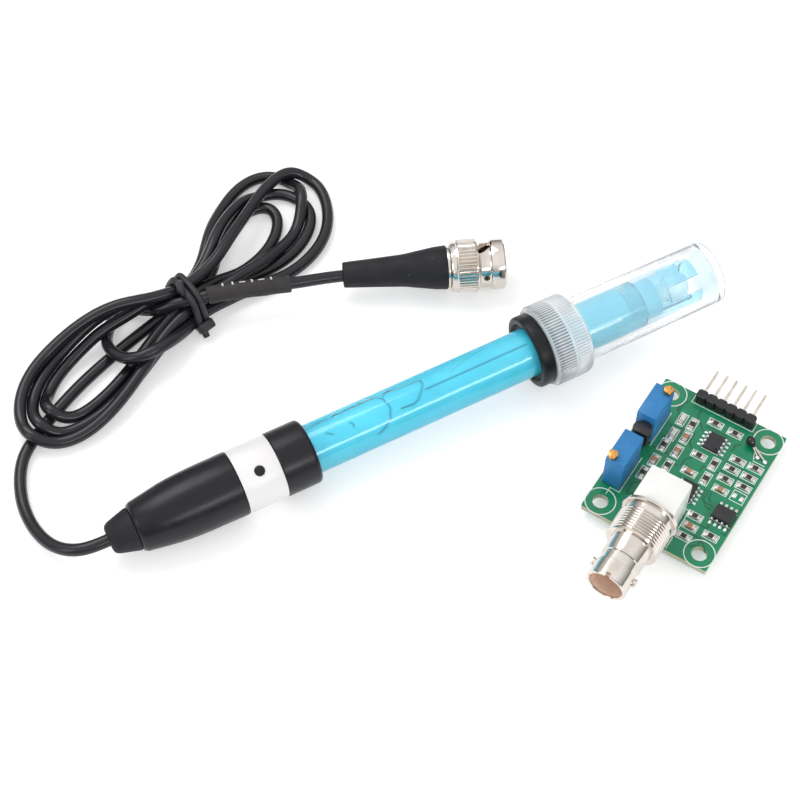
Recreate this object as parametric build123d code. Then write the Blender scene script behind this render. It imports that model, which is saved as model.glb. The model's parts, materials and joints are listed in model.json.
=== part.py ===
from build123d import *
import math
import os

# pH electrode with its lead, BNC plug and soak bottle, and the amplifier board that reads it.
# Millimetres. +Z is up and z = 0 is the bench, +X runs along the electrode towards its tip.
# The electrode leans on its head and on the larger bottle cap, so its axis rises slightly.

# ---- electrode: stations along its axis, measured from the free end of the grommet ----
GROMMET_END = 6.2
HEAD_END = 31.4
BAND_END = 41.2
COLLAR_END = 49.9
TUBE_START = 30.0
TUBE_END = 153.3
GASKET_START = 107.3
CAP_START = 110.8
CAP_END = 120.9
BOTTLE_START = 114.7
BOTTLE_END = 159.3
TUBE_R = 6.0
TUBE_BORE_R = 5.0
HEAD_R = 7.8
SPIGOT_R = 6.6
SPIGOT_END = 43.0
BAND_R = 7.75
COLLAR_R = 7.85
GASKET_R = 9.0
CAP_R = 10.25
BOTTLE_R = 8.0
BOTTLE_BORE_R = 6.8
STEM_R = 2.5
STEM_BORE_R = 1.8
BULB_R = 3.8
BULB_AT = 148.6
STEM_END = BULB_AT - BULB_R - 0.4
WIRE_R = 0.25
REFERENCE_OFFSET = 3.7
FILL_AT = 36.3
FILL_R = 1.2
FILL_LEAN = 28.0
RUNNING = 0.05
LOOSE = 0.35

# ---- where the electrode lies ----
GROMMET_X = -79.65
AXIS_Y = 28.26
CAP_FOOT = CAP_START + 0.5
SWELL_AT = 22.0
SWELL_R = 7.7
AXIS_RISE = math.degrees(math.atan((CAP_R - SWELL_R) / (CAP_FOOT - SWELL_AT)))
RISE = math.radians(AXIS_RISE)
AXIS_Z = SWELL_R * math.cos(RISE) - SWELL_AT * math.sin(RISE) + 0.01
ELECTRODE = Location((GROMMET_X, AXIS_Y, AXIS_Z), (0, -AXIS_RISE, 0))

# ---- cord ----
CORD_R = 1.5
CORD_Z = CORD_R + 0.02
HANK_Z = 0.02
HANK_HEIGHT = 7.0
TIE_AT = (-35.85, 84.0)
TIE_TURN = 16.0
TIE_WIDTH = 4.0
TIE_THICK = 0.8
BUNDLE_WIDTH = 15.4
SLEEVE_R = 2.2
SLEEVE_LENGTH = 19.0

# ---- plug, measured along its own axis from the tail of the boot ----
PLUG_X = 0.35
PLUG_Y = 71.96
PLUG_Z = 6.75
PLUG_TURN = -21.8
BOOT_END = 26.0
NUT_START = 26.7
NUT_END = 40.3
NUT_R = 6.7
NUT_NECK_R = 5.75
NUT_CHAMBER_R = 4.95
NUT_BEARING_R = 4.0
PLUG = Location((PLUG_X, PLUG_Y, PLUG_Z), (0, 0, PLUG_TURN))
CABLE_JOIN = 9.5

# ---- board, measured from its middle; its own z = 0 is its underside ----
BOARD_X = 46.45
BOARD_Y = -14.14
BOARD_TURN = 30.0
LEG_LENGTH = 2.0
BOARD_LONG = 42.0
BOARD_WIDE = 32.0
BOARD_THICK = 1.6
HOLE_R = 1.85
HOLE_ALONG = 17.7
HOLE_ACROSS = 12.7
PITCH = 2.54
PIN_SIDE = 0.64
HEADER_MID = 19.85
PIN_TIP = 28.45
TRIMMER_SIZE = (9.5, 4.8, 10.0)
TRIMMERS = {"a": (7.2, 12.8, 1), "b": (-8.0, 12.8, -1)}
SCREW_OFFSET = (3.6, 1.2)
SCREW_R = 0.5
SCREW_HEAD_R = 1.15
JACK_AXIS_Z = BOARD_THICK + 7.0
HOUSING_BACK = -9.6
HOUSING_FRONT = -18.9
REGULATOR_AT = (0.0, 12.3)
CHIPS = [(10.4, -2.2, 0), (-4.8, -2.7, 0), (-6.2, -12.9, 90)]
RESISTORS = [
    (12.4, 4.5, 0), (3.7, 7.6, 0), (-0.85, 4.2, 0), (5.3, -4.8, 0), (0.7, -4.95, 0), (-5.7, 8.1, 0),
    (15.6, 0.0, 90), (15.5, -5.1, 90), (5.5, -0.7, 90), (9.1, -9.0, 90), (9.35, -13.4, 90),
    (6.2, -8.9, 90), (6.3, -13.2, 90), (3.0, -8.8, 90), (3.3, -13.3, 90), (-9.6, -7.4, 90),
    (-15.7, -7.6, 90), (-12.4, -12.8, 90),
]
CAPACITORS = [
    (8.3, 4.2, 0), (3.8, 4.1, 0), (-1.3, 7.5, 0),
    (0.25, -0.8, 90), (-0.2, -9.15, 90), (-12.6, -7.6, 90),
]
LAMPS = [(12.4, 7.25, 0), (7.6, 7.2, 0)]
BEAD_AT = (14.7, -9.4, BOARD_THICK + 1.5)
BEAD_PADS = [(12.3, -12.5), (12.1, -14.5)]
BOARD = Location((BOARD_X, BOARD_Y, LEG_LENGTH), (0, 0, BOARD_TURN))


def turned(*outline):
    """A solid of revolution about X from (along, radius) points."""
    return revolve(make_face(Polyline(*outline, close=True)), Axis.X)


def ring(start, end, outer, inner=0.0):
    """A tube, or a rod where inner is 0, lying along X."""
    return turned((start, inner), (end, inner), (end, outer), (start, outer))


def upright(x, y, low, high, radius):
    """A round post standing at (x, y) from low to high."""
    return Pos(x, y, (low + high) / 2) * Cylinder(radius, high - low)


def block(x, y, low, length, width, height, turn=0):
    """A box centred on (x, y) that stands on the level low."""
    return Pos(x, y, low + height / 2) * Rot(0, 0, turn) * Box(length, width, height)


def rod(start, end, radius):
    """A round wire between two points."""
    plane = Plane(origin=start, z_dir=Vector(*end) - Vector(*start))
    return extrude(plane * Circle(radius), (Vector(*end) - Vector(*start)).length)


def save(name, place, *solids):
    """Put one sub-part where it belongs and write it, as one solid or as a group of them."""
    placed = [place * solid for solid in solids]
    shape = placed[0] if len(placed) == 1 else Compound(children=[s for s in placed])
    export_step(shape, f"parts/{name}.step")


# ---------------------------------------------------------------- electrode head
def grommet():
    body = turned(
        (0, 2.6), (0.5, 3.5), (1.2, 3.9), (GROMMET_END, 5.3), (GROMMET_END, 3.2),
        (9.5, 3.2), (9.5, CORD_R), (0, CORD_R),
    )
    return body


def head_cone():
    taper_end = (12.6, 6.88)
    swell_end = (SWELL_AT, SWELL_R)
    outline = [
        Polyline((GROMMET_END, 5.3), (7.2, 6.02), taper_end),
        ThreePointArc(taper_end, (16.8, 7.43), swell_end),
        Polyline(
            swell_end, (HEAD_END, HEAD_R), (HEAD_END, SPIGOT_R), (SPIGOT_END, SPIGOT_R), (SPIGOT_END, TUBE_R),
            (TUBE_START, TUBE_R), (TUBE_START, 5.4), (12.0, 4.6), (9.5, 4.2), (9.5, 3.2),
            (GROMMET_END, 3.2), (GROMMET_END, 5.3),
        ),
    ]
    return revolve(make_face(outline), Axis.X)


def fill_hole(shape, radius):
    """Drill the radial filling hole through a ring of the head."""
    drill = Pos(FILL_AT, 0, 0) * Rot(FILL_LEAN, 0, 0) * Pos(0, 0, 7.0) * Cylinder(radius, 6.0)
    return shape - drill


def fill_plug():
    shaft = Pos(0, 0, 6.3) * Cylinder(FILL_R, 3.0)
    crown = Pos(0, 0, 7.8) * Cylinder(FILL_R, 0.3)
    return Pos(FILL_AT, 0, 0) * Rot(FILL_LEAN, 0, 0) * (shaft + crown)


def white_band():
    return turned(
        (HEAD_END, SPIGOT_R), (BAND_END, SPIGOT_R), (BAND_END, BAND_R), (HEAD_END, BAND_R),
    )


def head_collar():
    body = turned(
        (BAND_END, SPIGOT_R), (SPIGOT_END, SPIGOT_R), (SPIGOT_END, TUBE_R), (COLLAR_END, TUBE_R),
        (COLLAR_END, COLLAR_R - 0.8), (COLLAR_END - 0.8, COLLAR_R), (BAND_END, COLLAR_R),
    )
    return body


# ---------------------------------------------------------------- measuring tube
def electrode_tube():
    body = turned(
        (TUBE_START, TUBE_BORE_R), (TUBE_END, TUBE_BORE_R), (TUBE_END, TUBE_R - 0.5),
        (TUBE_END - 0.5, TUBE_R), (TUBE_START, TUBE_R),
    )
    slot_start = 144.5
    slot_mid = (slot_start + TUBE_END + 1) / 2
    for turn in (45, 135):
        body -= Pos(slot_mid, 0, 0) * Rot(turn, 0, 0) * Box(TUBE_END + 1 - slot_start, 3.6, 14)
    return body


def glass_stem():
    return ring(20.0, STEM_END, STEM_R, STEM_BORE_R)


def ph_bulb():
    neck = ring(STEM_END, BULB_AT, STEM_R, STEM_BORE_R)
    shell = Pos(BULB_AT, 0, 0) * Sphere(BULB_R)
    hollow = Pos(BULB_AT, 0, 0) * Sphere(BULB_R - 0.35)
    passage = ring(STEM_END - 1, BULB_AT, STEM_BORE_R)
    return shell + neck - hollow - passage


def head_seal():
    body = ring(TUBE_START + 0.5, TUBE_START + 3.5, TUBE_BORE_R, STEM_R)
    return body - Pos(TUBE_START + 2, 0, REFERENCE_OFFSET) * Rot(0, 90, 0) * Cylinder(WIRE_R, 6)


def tip_stopper():
    body = ring(138.0, 142.0, TUBE_BORE_R, STEM_R)
    return body - Pos(140, 0, -REFERENCE_OFFSET) * Rot(0, 90, 0) * Cylinder(0.75, 6)


def porous_junction():
    return Pos(0, 0, -REFERENCE_OFFSET) * ring(138.0, 142.4, 0.75)


def reference_gel():
    start = TUBE_START + 3.5
    body = ring(start, 138.0, TUBE_BORE_R, STEM_R)
    body -= Pos((start + 125) / 2, 0, REFERENCE_OFFSET) * Rot(0, 90, 0) * Cylinder(WIRE_R, 125 - start)
    return body - Pos(FILL_AT, 0, 0) * Rot(FILL_LEAN, 0, 0) * Pos(0, 0, 5.0) * Cylinder(FILL_R, 0.6)


def electrode():
    save("cable_grommet", ELECTRODE, grommet())
    save("head_cone", ELECTRODE, fill_hole(head_cone(), FILL_R + RUNNING))
    save("white_band", ELECTRODE, fill_hole(white_band(), FILL_R + RUNNING))
    save("head_collar", ELECTRODE, head_collar())
    save("electrode_tube", ELECTRODE, fill_hole(electrode_tube(), FILL_R + RUNNING))
    save("fill_plug", ELECTRODE, fill_plug())
    save("glass_stem", ELECTRODE, glass_stem())
    save("ph_bulb", ELECTRODE, ph_bulb())
    save("head_seal", ELECTRODE, head_seal())
    save("tip_stopper", ELECTRODE, tip_stopper())
    save("porous_junction", ELECTRODE, porous_junction())
    save("reference_gel", ELECTRODE, reference_gel())
    save("measuring_wire", ELECTRODE, ring(20.5, BULB_AT + 1.5, WIRE_R))
    save("reference_wire", ELECTRODE, Pos(0, 0, REFERENCE_OFFSET) * ring(20.5, 125.0, WIRE_R))


# ---------------------------------------------------------------- soak bottle
def cap_gasket():
    return turned(
        (GASKET_START, TUBE_R + RUNNING), (CAP_START, TUBE_R + RUNNING), (CAP_START, GASKET_R - 0.2),
        (CAP_START - 0.4, GASKET_R), (GASKET_START + 0.4, GASKET_R), (GASKET_START, GASKET_R - 0.4),
        (GASKET_START, 7.4), (GASKET_START + 0.9, 7.0), (GASKET_START + 0.9, TUBE_R + RUNNING),
    )


def bottle_cap():
    seat = 113.0
    return turned(
        (CAP_START, TUBE_R + LOOSE), (seat, TUBE_R + LOOSE), (seat, BOTTLE_R + 0.3),
        (CAP_END, BOTTLE_R + 0.3), (CAP_END, CAP_R - 1.2), (CAP_END - 1.2, CAP_R),
        (CAP_FOOT, CAP_R), (CAP_START, CAP_R - 0.5),
    )


def seal_ring():
    return ring(113.1, BOTTLE_START - 0.05, BOTTLE_R - 0.15, TUBE_R + LOOSE)


def soak_bottle():
    floor = BOTTLE_END - 2.2
    return turned(
        (BOTTLE_START, BOTTLE_BORE_R), (floor - 0.8, BOTTLE_BORE_R), (floor, BOTTLE_BORE_R - 0.8),
        (floor, 0), (BOTTLE_END, 0), (BOTTLE_END, BOTTLE_R - 1.6), (BOTTLE_END - 0.47, BOTTLE_R - 0.47),
        (BOTTLE_END - 1.6, BOTTLE_R), (BOTTLE_START, BOTTLE_R),
    )


def bottle():
    save("cap_gasket", ELECTRODE, cap_gasket())
    save("bottle_cap", ELECTRODE, bottle_cap())
    save("seal_ring", ELECTRODE, seal_ring())
    save("soak_bottle", ELECTRODE, soak_bottle())


# ---------------------------------------------------------------- cord
def on_plug_axis(along):
    """A point on the plug's axis."""
    turn = math.radians(PLUG_TURN)
    return (PLUG_X + along * math.cos(turn), PLUG_Y + along * math.sin(turn), PLUG_Z)


LEAD_ROUTE = [
    (GROMMET_X, AXIS_Y, AXIS_Z),
    (-83.85, AXIS_Y, AXIS_Z - 4.2 * math.tan(RISE)),
    (-87.95, 30.06, 6.0), (-90.95, 33.46, 4.8), (-92.75, 38.06, 3.5), (-93.55, 43.46, 2.4),
    (-93.35, 49.66, 1.7), (-91.65, 56.06, CORD_Z), (-88.85, 61.46, CORD_Z), (-85.55, 65.66, CORD_Z),
]
TAIL_ROUTE = [(-31.3, 82.5, 6.1), on_plug_axis(-11.5), on_plug_axis(CABLE_JOIN)]
HANK_OUTLINE = [
    (-88.0, 66.5), (-84.8, 61.8), (-71.0, 62.2), (-60.0, 66.0), (-49.0, 71.0), (-36.5, 75.2),
    (-24.0, 78.8), (-13.0, 82.8), (-1.5, 87.5), (7.5, 91.0), (10.0, 96.5), (8.8, 105.0),
    (4.0, 112.6), (-4.5, 113.2), (-16.0, 106.5), (-27.0, 98.0), (-38.0, 91.8), (-47.0, 94.0),
    (-55.5, 96.8), (-62.0, 92.8), (-73.0, 84.6), (-82.5, 77.6), (-87.8, 72.5),
]


def cord_tube(route):
    """A round cord along straight runs joined by arcs as large as the runs allow."""
    points = [Vector(*point) for point in route]
    radii = []
    for before, here, after in zip(points, points[1:], points[2:]):
        come, go = here - before, after - here
        shorter = min(come.length, go.length)
        radii.append(0.45 * shorter / math.tan(math.radians(come.get_angle(go)) / 2))
    print("arc radii", [round(radius, 1) for radius in radii])
    path = FilletPolyline(*points, radius=radii)
    section = Plane(origin=points[0], z_dir=points[1] - points[0]) * Circle(CORD_R)
    tube = sweep(section, path=path)
    print("cord volume over section times length", round(tube.volume / (section.area * path.length), 4))
    return tube


def tie_loop():
    """The band of the twist tie, round the waist of the hank."""
    outer_width = BUNDLE_WIDTH + 2 * TIE_THICK
    outer = Box(TIE_WIDTH, outer_width, HANK_HEIGHT)
    outer = fillet(outer.edges().filter_by(Axis.X), 1.5)
    inner = Box(TIE_WIDTH + 2, BUNDLE_WIDTH, HANK_HEIGHT - 2 * TIE_THICK)
    inner = fillet(inner.edges().filter_by(Axis.X), 1.0)
    place = Pos(TIE_AT[0], TIE_AT[1], HANK_Z + HANK_HEIGHT / 2) * Rot(0, 0, TIE_TURN)
    return place * (outer - inner)


def tie_channel():
    """The room that the tie takes out of the hank's waist."""
    keep = Box(TIE_WIDTH + 2, BUNDLE_WIDTH, HANK_HEIGHT - 2 * TIE_THICK)
    keep = fillet(keep.edges().filter_by(Axis.X), 1.0)
    place = Pos(TIE_AT[0], TIE_AT[1], HANK_Z + HANK_HEIGHT / 2) * Rot(0, 0, TIE_TURN)
    return place * (Box(TIE_WIDTH, 30, HANK_HEIGHT + 2) - keep)


def cord_hank(lead):
    """The outer shape of the coiled cord, open where the tie, the lead and the tail run."""
    outline = make_face(Polyline(*HANK_OUTLINE, close=True))
    body = extrude(Pos(0, 0, HANK_Z) * outline, HANK_HEIGHT)
    start = Vector(*TAIL_ROUTE[0])
    along = (Vector(*TAIL_ROUTE[1]) - start).normalized()
    groove = extrude(Plane(origin=start, z_dir=along) * Rectangle(2 * SLEEVE_R + 0.4, 12), 30)
    return body - tie_channel() - groove - lead


def marker_sleeve():
    start = Vector(*TAIL_ROUTE[0])
    along = (Vector(*TAIL_ROUTE[1]) - start).normalized()
    section = Plane(origin=start + along, z_dir=along) * (Circle(SLEEVE_R) - Circle(CORD_R + 0.25))
    return extrude(section, SLEEVE_LENGTH)


def cord():
    here = Location()
    lead = cord_tube(LEAD_ROUTE)
    save("cord_lead", here, lead)
    save("cord_tail", here, cord_tube(TAIL_ROUTE))
    save("cord_hank", here, cord_hank(lead))
    save("twist_tie", here, tie_loop())
    save("marker_sleeve", here, marker_sleeve())
    head_end = ELECTRODE * ring(0.0, 19.5, CORD_R)
    plug_end = PLUG * ring(CABLE_JOIN, 19.0, CORD_R)
    save("cable_ends", here, head_end, plug_end)


# ---------------------------------------------------------------- plug
def plug_boot():
    return turned(
        (0, 2.0), (0, 3.0), (0.3, 3.2), (15.5, 4.0), (23.0, 5.3), (BOOT_END, 5.5),
        (BOOT_END, 3.3), (18.0, 3.3), (18.0, CORD_R), (3.0, CORD_R), (3.0, 2.0),
    )


def plug_body():
    return turned(
        (20.0, 1.6), (20.0, 2.3), (26.0, 2.3), (26.0, 5.3), (26.6, 5.3), (26.6, 3.95),
        (31.0, 3.95), (31.0, 3.9), (39.4, 3.9), (39.4, 3.5), (29.5, 3.5), (29.5, 1.6),
    )


def coupling_nut():
    body = turned(
        (NUT_START, NUT_BEARING_R), (30.2, NUT_BEARING_R), (30.2, NUT_CHAMBER_R),
        (NUT_END, NUT_CHAMBER_R), (NUT_END, 6.0), (NUT_END - 0.4, 6.45), (37.0, 6.45),
        (36.6, NUT_NECK_R), (33.6, NUT_NECK_R), (33.2, NUT_R - 0.2), (33.0, NUT_R),
        (27.1, NUT_R), (NUT_START, NUT_R - 0.4),
    )
    for side in (0, 180):
        slot = Pos(35.1, 0, 0) * Rot(side - 8, 0, 0) * Pos(0, 0, 6) * Rot(0, 0, 40) * Box(5.0, 2.1, 4)
        body -= slot
    return body


def plug():
    save("plug_boot", PLUG, plug_boot())
    save("plug_ferrule", PLUG, ring(18.3, 25.9, 3.2, 2.35))
    save("plug_body", PLUG, plug_body())
    save("coupling_nut", PLUG, coupling_nut())
    save("plug_insulator", PLUG, ring(29.6, 35.2, 3.45, 0.7))
    save("plug_pin", PLUG, turned((20.0, 0), (37.0, 0), (37.8, 0.25), (37.0, 0.66), (20.0, 0.66)))
    save("plug_seal", PLUG, ring(31.2, 32.4, 4.55, 4.0))


# ---------------------------------------------------------------- board
def pin_row():
    """Along-board places of the header's six pins."""
    return [(index - 2.5) * PITCH - 0.3 for index in range(6)]


def header_pin(across):
    level = BOARD_THICK + 1.3
    foot = block(HEADER_MID, across, -LEG_LENGTH, PIN_SIDE, PIN_SIDE, level + LEG_LENGTH + PIN_SIDE / 2)
    reach = PIN_TIP - HEADER_MID + PIN_SIDE / 2
    arm_mid = (PIN_TIP + HEADER_MID - PIN_SIDE / 2) / 2
    arm = block(arm_mid, across, level - PIN_SIDE / 2, reach, PIN_SIDE, PIN_SIDE)
    return foot + arm


def header_block(pins):
    body = block(HEADER_MID, -0.3, BOARD_THICK, 2.5, 6 * PITCH, 2.5)
    for index in range(7):
        across = (index - 3) * PITCH - 0.3
        for along in (HEADER_MID - 1.25, HEADER_MID + 1.25):
            body -= block(along, across, BOARD_THICK - 1, 0.7, 0.7, 5, 45)
    for pin in pins:
        body -= pin
    return body


def trimmer_legs():
    places = []
    for x, y, side in TRIMMERS.values():
        places += [(x + step * PITCH, y) for step in (-1, 0, 1)]
    return places


def trimmer_case(x, y, side):
    """A hollow case with a hole for the adjusting screw in one top corner."""
    length, width, height = TRIMMER_SIZE
    body = block(x, y, BOARD_THICK, length, width, height)
    body = fillet(body.edges().filter_by(Axis.Z), 0.3)
    body -= block(x, y, BOARD_THICK + 0.8, length - 0.8, width - 0.8, height - 2.0)
    screw_x, screw_y = screw_place(x, y, side)
    body -= upright(screw_x, screw_y, BOARD_THICK + height - 2, BOARD_THICK + height + 1, SCREW_R + RUNNING)
    return body


def screw_place(x, y, side):
    return x + side * SCREW_OFFSET[0], y - side * SCREW_OFFSET[1]


def trimmer_screw(x, y, side):
    x, y = screw_place(x, y, side)
    top = BOARD_THICK + TRIMMER_SIZE[2]
    head = upright(x, y, top + 0.1, top + 1.4, SCREW_HEAD_R)
    head -= block(x, y, top + 0.9, 0.45, 3.0, 1.0, 35)
    return head + upright(x, y, BOARD_THICK + 1.2, top + 0.1, SCREW_R)


def trimmer_wiper(x, y, side):
    """The carriage that climbs the screw."""
    screw_x, screw_y = screw_place(x, y, side)
    body = block(screw_x - side * 0.33, screw_y + side * 0.33, BOARD_THICK + 1.4, 2.0, 2.0, 1.2)
    return body - upright(screw_x, screw_y, BOARD_THICK, BOARD_THICK + 5, SCREW_R + RUNNING)


def regulator_body():
    x, y = REGULATOR_AT
    body = upright(x, y, BOARD_THICK + 3.4, BOARD_THICK + 8.0, 2.3)
    return body - block(x - 3.3, y, BOARD_THICK, 4.0, 8.0, 12.0)


def regulator_legs():
    x, y = REGULATOR_AT
    return [(x + 0.3, y + step * 1.27) for step in (-1, 0, 1)]


def chip_body(x, y, turn):
    body = Box(4.9, 3.9, 1.45)
    body = chamfer(body.edges().group_by(Axis.Z)[-1], 0.25)
    return Pos(x, y, BOARD_THICK + 0.15 + 0.725) * Rot(0, 0, turn) * body


def chip_leads(x, y, turn):
    leads = []
    for side in (-1, 1):
        for step in (-1.5, -0.5, 0.5, 1.5):
            foot = block(step * 1.27, side * 2.6, 0.0, 0.42, 0.9, 0.2)
            riser = block(step * 1.27, side * 2.15, 0.0, 0.42, 0.4, 0.9)
            leads.append(Pos(x, y, BOARD_THICK) * Rot(0, 0, turn) * (foot + riser))
    return leads


def surface_parts(places, height):
    return [block(x, y, BOARD_THICK, 2.0, 1.25, height, turn) for x, y, turn in places]


def jack_shell():
    front = -40.0
    return Pos(0, 0, JACK_AXIS_Z) * turned(
        (HOUSING_FRONT, 2.6), (HOUSING_FRONT, 6.85), (-19.9, 6.85), (-19.9, 6.05), (-21.4, 6.05),
        (-21.4, 6.35), (-28.3, 6.35), (-28.3, 4.85), (-32.9, 4.85), (-33.1, 4.6), (-35.4, 4.6),
        (-35.6, 4.85), (front, 4.85), (front, 4.05), (-30.0, 4.05), (-30.0, 2.6),
    ) + [lug(side) for side in (-1, 1)]


def lug(side):
    """One bayonet lug on the barrel of the jack."""
    return Pos(-36.0, side * 4.95, JACK_AXIS_Z) * Rot(90, 0, 0) * Cylinder(1.0, 1.1)


def jack_housing():
    mid = (HOUSING_BACK + HOUSING_FRONT) / 2
    body = block(mid, 0, BOARD_THICK, HOUSING_BACK - HOUSING_FRONT, 10.2, 12.0)
    body = fillet(body.edges().filter_by(Axis.Z), 0.5)
    body -= Pos(0, 0, JACK_AXIS_Z) * ring(HOUSING_FRONT - 1, -14.0, 2.6)
    for x, y, radius in jack_leg_places():
        body -= upright(x, y, 0, BOARD_THICK + 3.0, radius)
    return body


def jack_leg_places():
    return [(-11.4, 0.0, 0.45), (-14.0, 2.54, 0.45), (-16.6, 3.9, 0.7), (-16.6, -3.9, 0.7)]


def bead_wire(pad):
    x, y = pad
    return rod(BEAD_AT, (x, y, BOARD_THICK + 0.3), 0.22) + upright(x, y, -0.4, BOARD_THICK + 0.5, 0.25)


def solder_cone(x, y, radius):
    """The solder fillet round one leg, under the board."""
    cone = Pos(x, y, -0.4) * Cone(radius + 0.15, radius + 0.65, 0.8)
    return cone - upright(x, y, -2, 1, radius)


def board():
    header_pins = [header_pin(across) for across in pin_row()]
    legs = [(HEADER_MID, across, PIN_SIDE * 0.72) for across in pin_row()]
    legs += [(x, y, 0.3) for x, y in trimmer_legs()]
    legs += [(x, y, 0.28) for x, y in regulator_legs()]
    legs += jack_leg_places()
    legs += [(x, y, 0.26) for x, y in BEAD_PADS]
    plate = block(0, 0, 0, BOARD_LONG, BOARD_WIDE, BOARD_THICK)
    plate = fillet(plate.edges().filter_by(Axis.Z), 0.4)
    for x in (-HOLE_ALONG, HOLE_ALONG):
        for y in (-HOLE_ACROSS, HOLE_ACROSS):
            plate -= upright(x, y, -1, 3, HOLE_R)
    for x, y, radius in legs:
        plate -= upright(x, y, -1, 3, radius)
    save("circuit_board", BOARD, plate)
    save("solder_joints", BOARD, *[solder_cone(x, y, radius) for x, y, radius in legs])
    save("header_block", BOARD, header_block(header_pins))
    save("header_pins", BOARD, *header_pins)
    for name, (x, y, side) in TRIMMERS.items():
        save(f"trimmer_case_{name}", BOARD, trimmer_case(x, y, side))
        save(f"trimmer_screw_{name}", BOARD, trimmer_screw(x, y, side))
        save(f"trimmer_wiper_{name}", BOARD, trimmer_wiper(x, y, side))
    save("trimmer_legs", BOARD, *[upright(x, y, -LEG_LENGTH, BOARD_THICK, 0.3) for x, y in trimmer_legs()])
    save("regulator", BOARD, regulator_body())
    save(
        "regulator_legs", BOARD,
        *[upright(x, y, -1.0, BOARD_THICK + 3.4, 0.28) for x, y in regulator_legs()],
    )
    save("opamp_chips", BOARD, *[chip_body(*chip) for chip in CHIPS])
    save("opamp_leads", BOARD, *[lead for chip in CHIPS for lead in chip_leads(*chip)])
    save("chip_resistors", BOARD, *surface_parts(RESISTORS, 0.5))
    save("chip_capacitors", BOARD, *surface_parts(CAPACITORS, 0.8))
    save("status_lamps", BOARD, *surface_parts(LAMPS, 0.8))
    wires = [bead_wire(pad) for pad in BEAD_PADS]
    bead = Pos(*BEAD_AT) * Sphere(1.2)
    save("thermistor_bead", BOARD, bead)
    save("thermistor_leads", BOARD, *[wire - bead for wire in wires])
    save("jack_housing", BOARD, jack_housing())
    save("jack_shell", BOARD, jack_shell())
    save("jack_insulator", BOARD, Pos(0, 0, JACK_AXIS_Z) * ring(-33.5, -14.0, 2.6, 0.9))
    save("jack_contact", BOARD, Pos(0, 0, JACK_AXIS_Z) * ring(-34.4, -14.0, 0.9, 0.5))
    save(
        "jack_legs", BOARD,
        *[upright(x, y, -LEG_LENGTH, BOARD_THICK + 3.0, radius) for x, y, radius in jack_leg_places()],
    )


os.makedirs("parts", exist_ok=True)
electrode()
bottle()
cord()
plug()
board()
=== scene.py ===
import json
import math

import bmesh
import bpy
import numpy as np
from mathutils import Matrix, Vector


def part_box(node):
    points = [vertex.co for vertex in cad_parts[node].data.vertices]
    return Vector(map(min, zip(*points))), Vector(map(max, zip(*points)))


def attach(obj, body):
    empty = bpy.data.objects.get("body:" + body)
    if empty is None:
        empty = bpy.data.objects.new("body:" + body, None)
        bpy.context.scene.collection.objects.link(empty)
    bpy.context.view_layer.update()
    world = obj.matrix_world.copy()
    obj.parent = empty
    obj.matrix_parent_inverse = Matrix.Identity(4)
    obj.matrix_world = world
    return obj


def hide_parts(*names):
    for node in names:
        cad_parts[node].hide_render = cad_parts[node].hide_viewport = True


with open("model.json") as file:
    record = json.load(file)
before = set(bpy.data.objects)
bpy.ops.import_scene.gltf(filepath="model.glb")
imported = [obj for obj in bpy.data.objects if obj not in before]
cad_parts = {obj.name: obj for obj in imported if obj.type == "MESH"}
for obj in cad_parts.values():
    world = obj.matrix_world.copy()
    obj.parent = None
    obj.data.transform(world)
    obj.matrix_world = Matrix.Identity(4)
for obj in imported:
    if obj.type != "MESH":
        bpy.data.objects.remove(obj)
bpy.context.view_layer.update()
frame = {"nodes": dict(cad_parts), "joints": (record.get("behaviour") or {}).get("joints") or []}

# A pH electrode with its coiled lead and bayonet plug, its soak bottle, and the amplifier
# board that it plugs into. Shapes are drawn in millimetres in the CAD's own local frames:
# X runs along the electrode, along the plug, or along the board away from its jack.
MM = 0.001
BOARD_TURN = 30
NODES = frame["nodes"]
JOINTS = {joint["name"]: joint for joint in frame["joints"]}


def turned(degrees, axis):
    """A turn about an axis."""
    return Matrix.Rotation(math.radians(degrees), 4, axis)


def at(x, y, z=0.0, turn=0.0):
    """A place with a turn about Z in degrees."""
    return Matrix.Translation((x, y, z)) @ turned(turn, "Z")


def along_joint(name, station):
    """The frame whose X runs along a joint's axis, where the joint sits at that station in mm."""
    joint = JOINTS[name]
    axis = Vector(joint["axis"]).normalized()
    across = Vector((0, 0, 1)).cross(axis).normalized()
    turn = Matrix((axis, across, axis.cross(across))).transposed().to_4x4()
    return Matrix.Translation(Vector(joint["pos_m"]) - axis * station * MM) @ turn @ Matrix.Scale(MM, 4)


def board_frame():
    """The board's frame, from the middle of its underside."""
    low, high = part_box("circuit_board")
    middle = Vector(((low.x + high.x) / 2, (low.y + high.y) / 2, low.z))
    return Matrix.Translation(middle) @ turned(BOARD_TURN, "Z") @ Matrix.Scale(MM, 4)


ELECTRODE = along_joint("bottle_unscrew", 130.0)
PLUG = along_joint("nut_turn", 30.0)
BOARD = board_frame()
BENCH = Matrix.Scale(MM, 4)
TOP = 1.6


# -------- camera
camera_data = bpy.data.cameras.new("camera")
camera_data.lens = 76.5
camera_data.sensor_width = 36.0
camera_data.clip_start = 0.01
camera = bpy.data.objects.new("camera", camera_data)
bpy.context.scene.collection.objects.link(camera)
camera.location = Vector((-107.45, -167.74, 340.2)) * MM
aim = Vector((-2.15, 36.16, 0.0)) * MM - camera.location
camera.rotation_euler = aim.to_track_quat("-Z", "Y").to_euler()
bpy.context.scene.camera = camera


# -------- materials
def colour(code):
    """An sRGB hex colour as the linear colour that a shader takes."""
    parts = [int(code[i:i + 2], 16) / 255 for i in (1, 3, 5)]
    return [c / 12.92 if c <= 0.04045 else ((c + 0.055) / 1.055) ** 2.4 for c in parts] + [1.0]


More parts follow.
